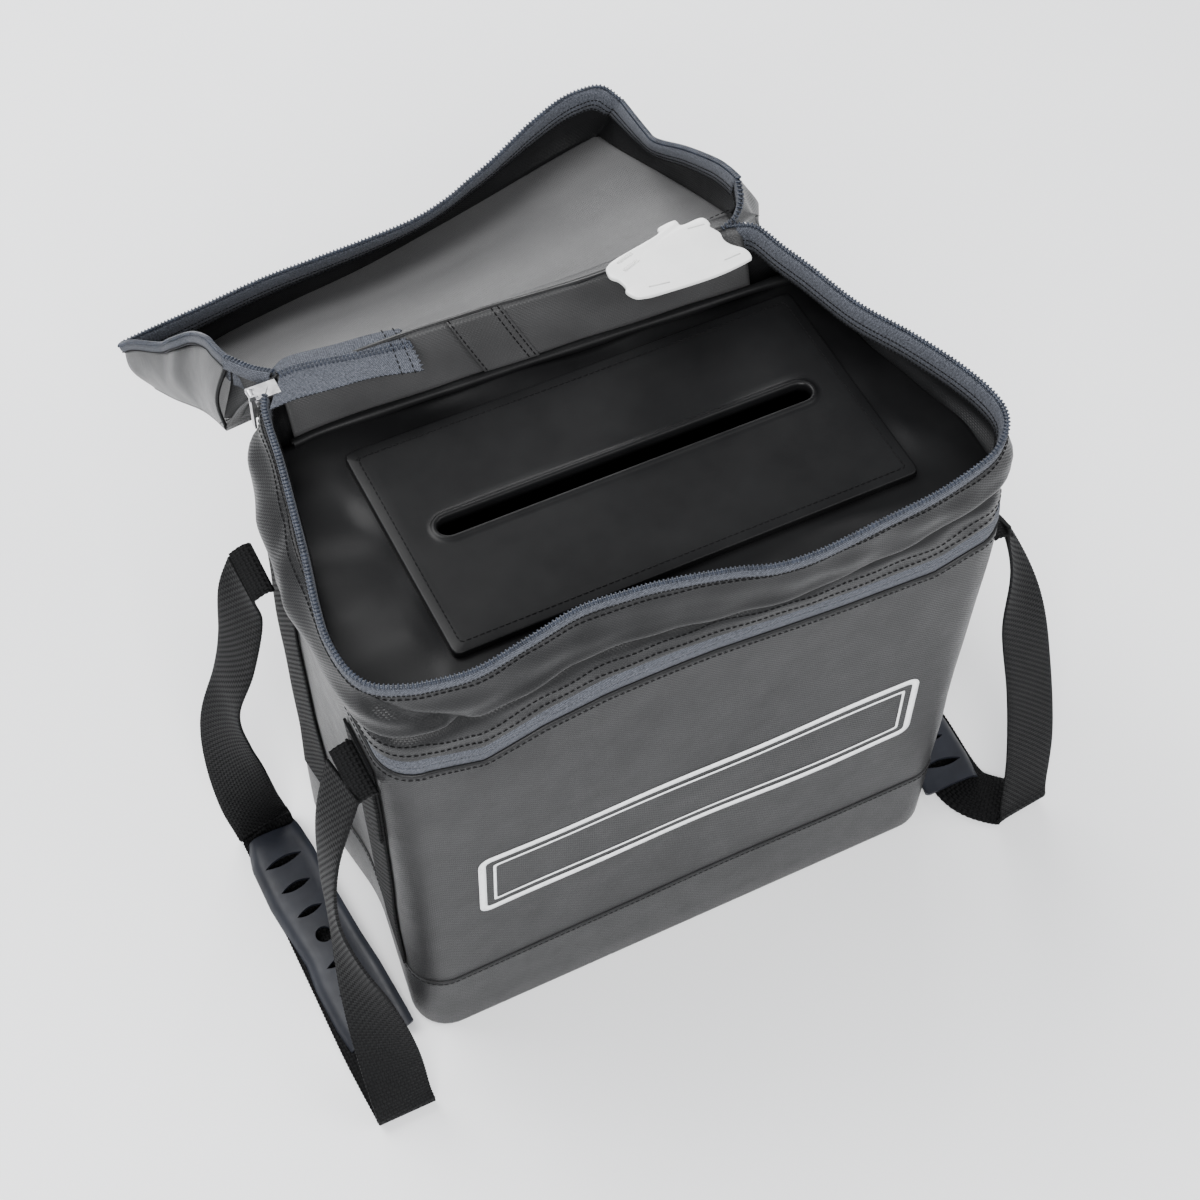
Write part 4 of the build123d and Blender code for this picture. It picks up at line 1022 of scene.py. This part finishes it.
for sideName, gusset in gussets.items():
    lines = np.stack([smoothPath(line, gussetShape["columns"]) for line in gusset["lines"]])
    columns = [smoothPath(lines[:, column], gussetShape["rows"]) for column in range(gussetShape["columns"])]
    piece = sheet(sideName + "Gusset", np.stack(columns, axis=1), fabric,
                  thickness=gussetShape["thickness"], offset=0)
    crossing = (("rear_flap", "lid"), *gusset["bend"])
    bendAcross(piece, "coated_fabric", *crossing)
    path = smoothPath(gusset["lines"][0], gussetShape["tapeCount"])
    outward = np.tile(unit(np.array(gusset["out"], float)), (len(path), 1))
    rise = unit(np.cross(unit(np.gradient(path, axis=0)), outward))
    rise = rise * np.sign(rise[:, 2:3])
    rolledTape(sideName + "GussetTape", path, outward, rise, "rear_flap", crossing=crossing)
print("lid made")

# Webbing sewn on the sides
strips = {"bottom": 68.5, "top": 316, "count": 12, "lift": 1.3, "thickness": 1.8, "half": 15,
          "rows": {"front": -67, "rear": 67}, "endBottom": 232, "endTop": 294, "endCount": 6, "endLift": 3.3}


def sewnStrip(name, node, side, y, heights, lift):
    centres = [onSide(side, y, height, lift) for height in heights]
    across = [onSide(side, y + strips["half"], height) - onSide(side, y - strips["half"], height)
              for height in heights]
    piece = ribbon(name, centres, unit(np.array(across)), thickness=strips["thickness"])
    settle(piece, "base", "webbing", node)


for sideName, side in (("left", -1), ("right", 1)):
    heights = np.linspace(strips["bottom"], strips["top"], strips["count"])
    for rowName, y in strips["rows"].items():
        sewnStrip(sideName + rowName.capitalize() + "Strip", sideName + "_" + rowName + "_strip", side, y,
                  heights, strips["lift"])
    heights = np.linspace(strips["endBottom"], strips["endTop"], strips["endCount"])
    sewnStrip(sideName + "StrapEnd", sideName + "_front_strap_end", side, strips["rows"]["front"], heights,
              strips["endLift"])

# Handles. Sections are shares (outwards of the reach, along the half depth, up to the pivot) with the way
# across the webbing
handles = {
    "reach": 48, "halfDepth": 110, "floor": 1.5, "pivotHeight": 306, "drop": 4, "tab": 12, "rearY": 82,
    "frontY": -75.9, "strapGap": (0.3, -0.6),
    # places along a tab, outwards from the pivot, and their heights
    "tabStart": [(-1.6, 305), (1, 306.3), (6, 305.4)], "tabEnd": (0.3, 0.2),
    "left": {"side": -1, "pivot": 209.7, "sections": [
        ((0.34, 0.735, 0.9), (0.35, 0.94, 0)), ((0.52, 0.715, 0.76), (0.19, 0.98, 0)),
        ((0.74, 0.727, 0.63), (0.05, 1, 0)), ((0.85, 0.755, 0.47), (0.54, 0.84, 0)),
        ((0.8, 0.782, 0.3), (0.87, 0.5, 0)), ((0.7, 0.8, 0.14), (0.98, 0.17, 0)),
        ((0.6, 0.8, 0.05), (1, 0, 0)), ((0.56, 0.782, 0.015), (1, 0, 0)),
        ((0.52, 0.727, 0), (1, 0, 0)), ((0.52, 0.3, 0), (1, 0, 0)), ((0.52, -0.4, 0), (1, 0, 0)),
        ((0.52, -0.927, 0), (1, 0, 0)), ((0.48, -1.327, 0), (1, 0, 0)), ((0.48, -1.4, 0.008), (1, 0, 0)),
        ((0.48, -1.427, 0.028), (1, 0, 0)), ((0.5, -1.382, 0.067), (1, 0, 0)),
        ((0.513, -1.26, 0.167), (0.95, 0.3, 0)), ((0.6, -1.1, 0.36), (0.62, 0.78, 0)),
        ((0.7, -0.96, 0.54), (0.12, 0.99, 0)), ((0.75, -0.87, 0.7), (-0.12, 0.99, 0)),
        ((0.62, -0.79, 0.85), (-0.1, 0.99, 0))]},
    "right": {"side": 1, "pivot": 207.76, "sections": [
        ((0.5, 0.764, 0.901), (0.2, 1, 0)), ((0.708, 0.782, 0.77), (0.7, 0.7, 0)),
        ((0.833, 0.782, 0.586), (1, 0.25, 0)), ((0.833, 0.782, 0.389), (1, 0, 0)),
        ((0.75, 0.8, 0.192), (1, 0, 0)), ((0.604, 0.827, 0.061), (1, 0, 0)),
        ((0.52, 0.782, 0.015), (1, 0, 0)), ((0.48, 0.727, 0), (1, 0, 0)), ((0.48, 0.3, 0), (1, 0, 0)),
        ((0.48, -0.4, 0), (1, 0, 0)), ((0.48, -0.927, 0), (1, 0, 0)), ((0.917, -1.164, 0), (1, 0.1, 0)),
        ((1, -1.236, 0.008), (1, 0.1, 0)), ((1.02, -1.264, 0.031), (1, 0.1, 0)),
        ((1.02, -1.236, 0.074), (1, 0.1, 0)), ((1, -1.164, 0.258), (1, 0.1, 0)),
        ((0.854, -1.055, 0.488), (1, 0.2, 0)), ((0.646, -0.945, 0.698), (0.95, 0.3, 0)),
        ((0.417, -0.818, 0.895), (0.5, 0.85, 0))]},
}
alongY = (0, 1, 0)
for sideName in ("left", "right"):
    handle = handles[sideName]
    side, pivot = handle["side"], handle["pivot"]
    foldX, foldZ = pivot + handles["tab"], handles["pivotHeight"] - handles["drop"]
    gapX, gapZ = handles["strapGap"]
    places, across = [(side * (foldX + gapX), handles["rearY"], foldZ + gapZ)], [alongY]
    for (out, alongShare, riseShare), way in handle["sections"]:
        height = handles["floor"] + (handles["pivotHeight"] - handles["floor"]) * riseShare
        places.append((side * (pivot + handles["reach"] * out), handles["halfDepth"] * alongShare, height))
        across.append((side * way[0], way[1], way[2]))
    places.append((side * (foldX + gapX), handles["frontY"], foldZ + gapZ))
    across.append(alongY)
    strap = ribbon(sideName + "HandleStrap", places, across)
    settle(strap, sideName + "_handle", "webbing", sideName + "_handle_strap")
    for rowName, y in (("rear", handles["rearY"]), ("front", handles["frontY"])):
        centres = [(side * (pivot + out), y, height) for out, height in handles["tabStart"]]
        centres.append((side * (foldX + handles["tabEnd"][0]), y, foldZ + handles["tabEnd"][1]))
        tab = ribbon(sideName + rowName.capitalize() + "Tab", centres, [alongY] * len(centres))
        settle(tab, sideName + "_tabs", "webbing", sideName + "_" + rowName + "_tab")

# A flat band of fabric on the lining, sewn down along both sides
innerStrap = {"bottom": -29, "top": -47, "half": 18, "columns": 18, "off": (0, -1.6, 0.5), "thickness": 1.2,
              "stitchColumns": (1, 14, 16), "stitchLift": (0, -0.8, 0.3), "stitchUp": (0, -0.92, 0.38)}
grid = []
for line, share in zip(liningRows, np.linspace(0, 1, len(liningRows))):
    middle = innerStrap["bottom"] * (1 - share) + innerStrap["top"] * share
    x = middle + np.linspace(-innerStrap["half"], innerStrap["half"], innerStrap["columns"])
    grid.append(alongX(x, line) + innerStrap["off"])
# the inner strap takes the lining's paler colour, which is painted sheen
band = sheet("innerStrap", grid[::-1], liningPaintedSheen, thickness=innerStrap["thickness"], offset=0)
settle(band, "collar", "webbing", "inner_strap")
for column in innerStrap["stitchColumns"]:
    path = np.array([row[column] for row in grid]) + innerStrap["stitchLift"]
    addRow("stitch", "collar", path, innerStrap["stitchUp"])
print("webbing made")

# Zip tail: the tape's two edges and the coil's line between them
tail = {
    "far": [(-170, 131, 418), (-158, 135.5, 418), (-125, 132, 418.4), (-104, 130, 418), (-90, 128, 417.6)],
    "coil": [(-168, 124, 419.4), (-158, 124.5, 419.2), (-130, 119.5, 419.2), (-108, 116, 419),
             (-90, 113, 418.4)],
    "near": [(-183, 103, 417), (-163, 104, 417.4), (-140, 101, 418), (-115, 98.5, 417.6), (-91, 92.5, 417)],
    "count": 60, "rows": 31, "thickness": 0.8, "wave": 0.35, "fray": (1.3, 0.8), "coilHalf": 1.3,
    "coilLift": 0.8, "stitchShares": (-0.8, -0.55, -0.3, 0.35, 0.65, 0.88), "stitchLift": 0.15,
    "crossRows": (-4, -9), "crossLift": 0.9,
}
tailLines = {name: smoothPath(tail[name], tail["count"]) for name in ("far", "coil", "near")}


def tailRow(share):
    other = tailLines["far"] if share > 0 else tailLines["near"]
    row = tailLines["coil"] * (1 - abs(share)) + other * abs(share)
    row[:, 2] += tail["wave"] * np.sin(row[:, 0] * 0.12 + share * 2)
    # the cut end frays
    row[-1, 0] += tail["fray"][0] * math.sin(37 * share) + tail["fray"][1] * math.sin(91 * share)
    return row


tailGrid = [tailRow(share) for share in np.linspace(-1, 1, tail["rows"])]
zipTail = sheet("zipTail", tailGrid[::-1], zipTape, thickness=tail["thickness"])
settle(zipTail, "collar", "zip_tape", "zip_tail")
for shift in (-tail["coilHalf"], tail["coilHalf"]):
    addRow("smallTooth", "collar", tailRow(0) + (0, shift, tail["coilLift"]), upright)
for share in tail["stitchShares"]:
    addRow("seam", "collar", tailRow(share)[:-1] + upright * tail["stitchLift"], upright)
for column in tail["crossRows"]:
    stitchPath = np.array([row[column] for row in tailGrid]) + upright * tail["crossLift"]
    addRow("stitch", "collar", stitchPath, upright)

# Two blank white lines round an empty field on the front
printFrame = {"left": -155, "right": 159, "bottom": 140, "top": 205, "radius": 8, "leastRadius": 1.5,
              "lines": {"printOuterLine": (0, 5), "printInnerLine": (10, 2)}, "counts": (100, 24, 100, 24),
              "lift": 0.35, "thickness": 0.2}
for name, (inset, line) in printFrame["lines"].items():
    grid = []
    for step in (0, 0.5, 1):
        shrink = inset + line * step
        left, right = printFrame["left"] + shrink, printFrame["right"] - shrink
        low, high = printFrame["bottom"] + shrink, printFrame["top"] - shrink
        box = [(left, low), (right, low), (right, high), (left, high)]
        loop = roundedOutline(box, [max(printFrame["radius"] - shrink, printFrame["leastRadius"])] * 4)
        grid.append([onFront(x, z, printFrame["lift"]) for x, z in sidesOf(loop, box, printFrame["counts"])])
    frameLine = sheet(name, grid, whitePrint, closed=True, thickness=printFrame["thickness"])
    settle(frameLine, "base", "coated_fabric")
print("print made")

makeRows()
print("stitches and coils made")

# Seal holder: a plate with two windows and three slots, on a smaller block
sealHolder = {
    "outline": [(37.5, 109.2), (46.2, 113), (76.4, 119.8), (80.1, 124.5), (91.3, 126.2), (93.2, 124.1),
                (94.4, 120.6), (106.4, 121.3), (109.9, 119.1), (110.6, 114.6), (109.4, 111.7), (112.3, 105),
                (111.7, 98.9), (113.8, 93.3), (119.6, 86.6), (120.3, 79.9), (116.2, 77.3), (92.7, 74.9),
                (56.5, 76.5), (46.4, 78), (41.7, 80.2), (38.8, 86), (40.3, 89.8), (38.9, 96.1),
                (35.6, 100.5), (35.7, 105.5)],
    "perSpan": 5, "top": 431, "thickness": 3, "back": (46, 112, 90, 114), "backBottom": 420.6,
    "backRadius": 4, "backGap": 0.05,
    # (inset, height over the underside) and (inset, height under the top)
    "lowEdge": [(0.6, 0), (0, 0.6)], "highEdge": [(0, 0.9), (0.3, 0.3), (0.9, 0)],
    "windows": [[(43.4, 109.2), (55.4, 113.8), (57.1, 111.2), (44.7, 107.5)],
                [(44.3, 102.6), (56.2, 107.1), (58.5, 104.9), (45.9, 100.1)]],
    "windowDepth": 2.2, "windowRadius": 0.8, "overrun": 3, "underrun": 2,
    "slots": [[(52.5, 84.1), (65.8, 82.2), (65.8, 81), (52.5, 82.9)],
              [(95.7, 116.4), (106.9, 115.5), (106.9, 114.4), (95.7, 115.3)],
              [(103.6, 83.9), (115.2, 84.7), (115.2, 83.5), (103.6, 82.7)]],
}
topAt, lowAt = sealHolder["top"], sealHolder["top"] - sealHolder["thickness"]
outline = curveThrough(np.array(sealHolder["outline"])[::-1], closed=True, perSpan=sealHolder["perSpan"])
levels = [(inset, lowAt + rise) for inset, rise in sealHolder["lowEdge"]]
levels += [(inset, topAt - drop) for inset, drop in sealHolder["highEdge"]]
holder = slab("sealHolder", outline, levels, sealPlastic)
cutterTop = (0, topAt + sealHolder["overrun"])
cutters = [slab("windowCut", roundedOutline(window[::-1], [sealHolder["windowRadius"]] * 4),
                [(0, topAt - sealHolder["windowDepth"]), cutterTop], sealPlastic)
           for window in sealHolder["windows"]]
cutters += [slab("slotCut", slot, [(0, lowAt - sealHolder["underrun"]), cutterTop], sealPlastic)
            for slot in sealHolder["slots"]]
settle(cutOut(holder, cutters), "collar", "seal_plastic", "seal_holder_cover")
left, right, front, rear = sealHolder["back"]
outline = roundedOutline([(left, front), (right, front), (right, rear), (left, rear)],
                         [sealHolder["backRadius"]] * 4)
levels = [(0, sealHolder["backBottom"]), (0, lowAt - sealHolder["backGap"])]
settle(slab("sealHolderBack", outline, levels, sealPlastic), "collar", "seal_plastic", "seal_holder_base")

# Moulded grips: the outer and the inner edge as (y, distance from the bag's middle)
grip = {
    "outer": [(-100, 249), (-81, 251.7), (-49, 253), (-28, 251.6), (-5, 254), (24, 257), (58, 257),
              (72, 254), (78, 252)],
    "inner": [(-100, 203), (-51, 206), (-24, 209), (19, 212), (51, 212.5), (74, 215), (78, 216)],
    # share across the grip from its outer edge, and height over the floor
    "profile": [(0, 1.2), (0.02, 3.4), (0.07, 6.4), (0.15, 8.6), (0.28, 9.6), (0.5, 10), (0.72, 9.5),
                (0.82, 8.8), (0.89, 8.9), (0.95, 10.3), (1, 13.2)],
    "profileCount": 34, "wall": 2.3, "rows": 60, "rightShift": -3.9, "lift": 0.6, "least": 0.5,
    "middleY": -11, "straight": 80, "taper": 0.12, "taperLength": 9,        # it gets lower towards its ends
    # place along the grip, half length across it, half width; a hole without a width is round
    "holes": [(51.8, 14.3, 3.4), (29.5, 11.4, 3.3), (7.3, 10, 3), (-14, 6.1, 0), (-37.5, 10, 3),
              (-60, 11.4, 3.3), (-82, 14.3, 3.4)],
    "holeShift": 0.5, "holeLean": 1.6, "holeSteps": 40, "holeHeights": (3.8, 20),
}


def gripEdges(y):
    return [np.interp(y, *np.array(grip[name]).T) for name in ("outer", "inner")]


# A lens or a circle seen from above
def holeOutline(side, middle, y, halfAcross, halfAlong):
    turns = np.linspace(0, 2 * math.pi, grip["holeSteps"], endpoint=False)
    x, sine = np.cos(turns), np.sin(turns)
    lens = halfAlong * np.sign(sine) * (1 - x ** 2) - side * x * grip["holeLean"]
    return np.stack([middle + halfAcross * x, y + (lens if halfAlong else halfAcross * sine)], axis=1)


gripAlong = np.linspace(grip["outer"][0][0], grip["outer"][-1][0], grip["rows"])
profile = smoothPath([(share, height, 0) for share, height in grip["profile"]], grip["profileCount"])[:, :2]
for sideName, side, shift in (("left", -1, 0), ("right", 1, grip["rightShift"])):
    grid = []
    for y, outerEdge, innerEdge in zip(gripAlong, *gripEdges(gripAlong)):
        past = max(0, abs(y - grip["middleY"]) - grip["straight"])
        end = 1 - grip["taper"] * past / grip["taperLength"]
        skin = [(side * (outerEdge + (innerEdge - outerEdge) * share + shift), y, grip["lift"] + height * end)
                for share, height in profile]
        hollow = [(x, place, max(grip["least"], height - grip["wall"])) for x, place, height in skin[::-1]]
        grid.append(skin + hollow)
    piece = capped(sheet(sideName + "Grip", grid, gripRubber, closed=True), grip["rows"], 2 * len(profile))
    cutters = []
    for y, halfAcross, halfAlong in grip["holes"]:
        middle = side * (sum(gripEdges(y)) / 2 + shift + grip["holeShift"])
        hole = holeOutline(side, middle, y, halfAcross, halfAlong)
        cutters.append(slab("holeCut", hole, [(0, height) for height in grip["holeHeights"]], gripRubber))
    settle(cutOut(piece, cutters), sideName + "_handle", "grip_rubber", sideName + "_handle_grip")
print("seal holder and grips made")

# Finishes of the pieces that come from the frame
carried = {
    "base_board": boardGrey, "slot_board": boardGrey, "zip_slider": sliderMetal, "zip_pull": sliderMetal,
    "lower_slider": sliderMetal, "lower_pull": sliderMetal,
}
for name, surface in carried.items():
    node = bpy.data.objects[name]
    for slot in node.material_slots:
        slot.material = surface
    if not node.material_slots:
        node.data.materials.append(surface)

floorHalf = 6
floorMesh = bpy.data.meshes.new("paleFloor")
floorMesh.from_pydata([(-floorHalf, -floorHalf, 0), (floorHalf, -floorHalf, 0), (floorHalf, floorHalf, 0),
                       (-floorHalf, floorHalf, 0)], [], [(0, 1, 2, 3)])
floorMesh.materials.append(paleFloor)
floor = bpy.data.objects.new("paleFloor", floorMesh)
bpy.context.collection.objects.link(floor)
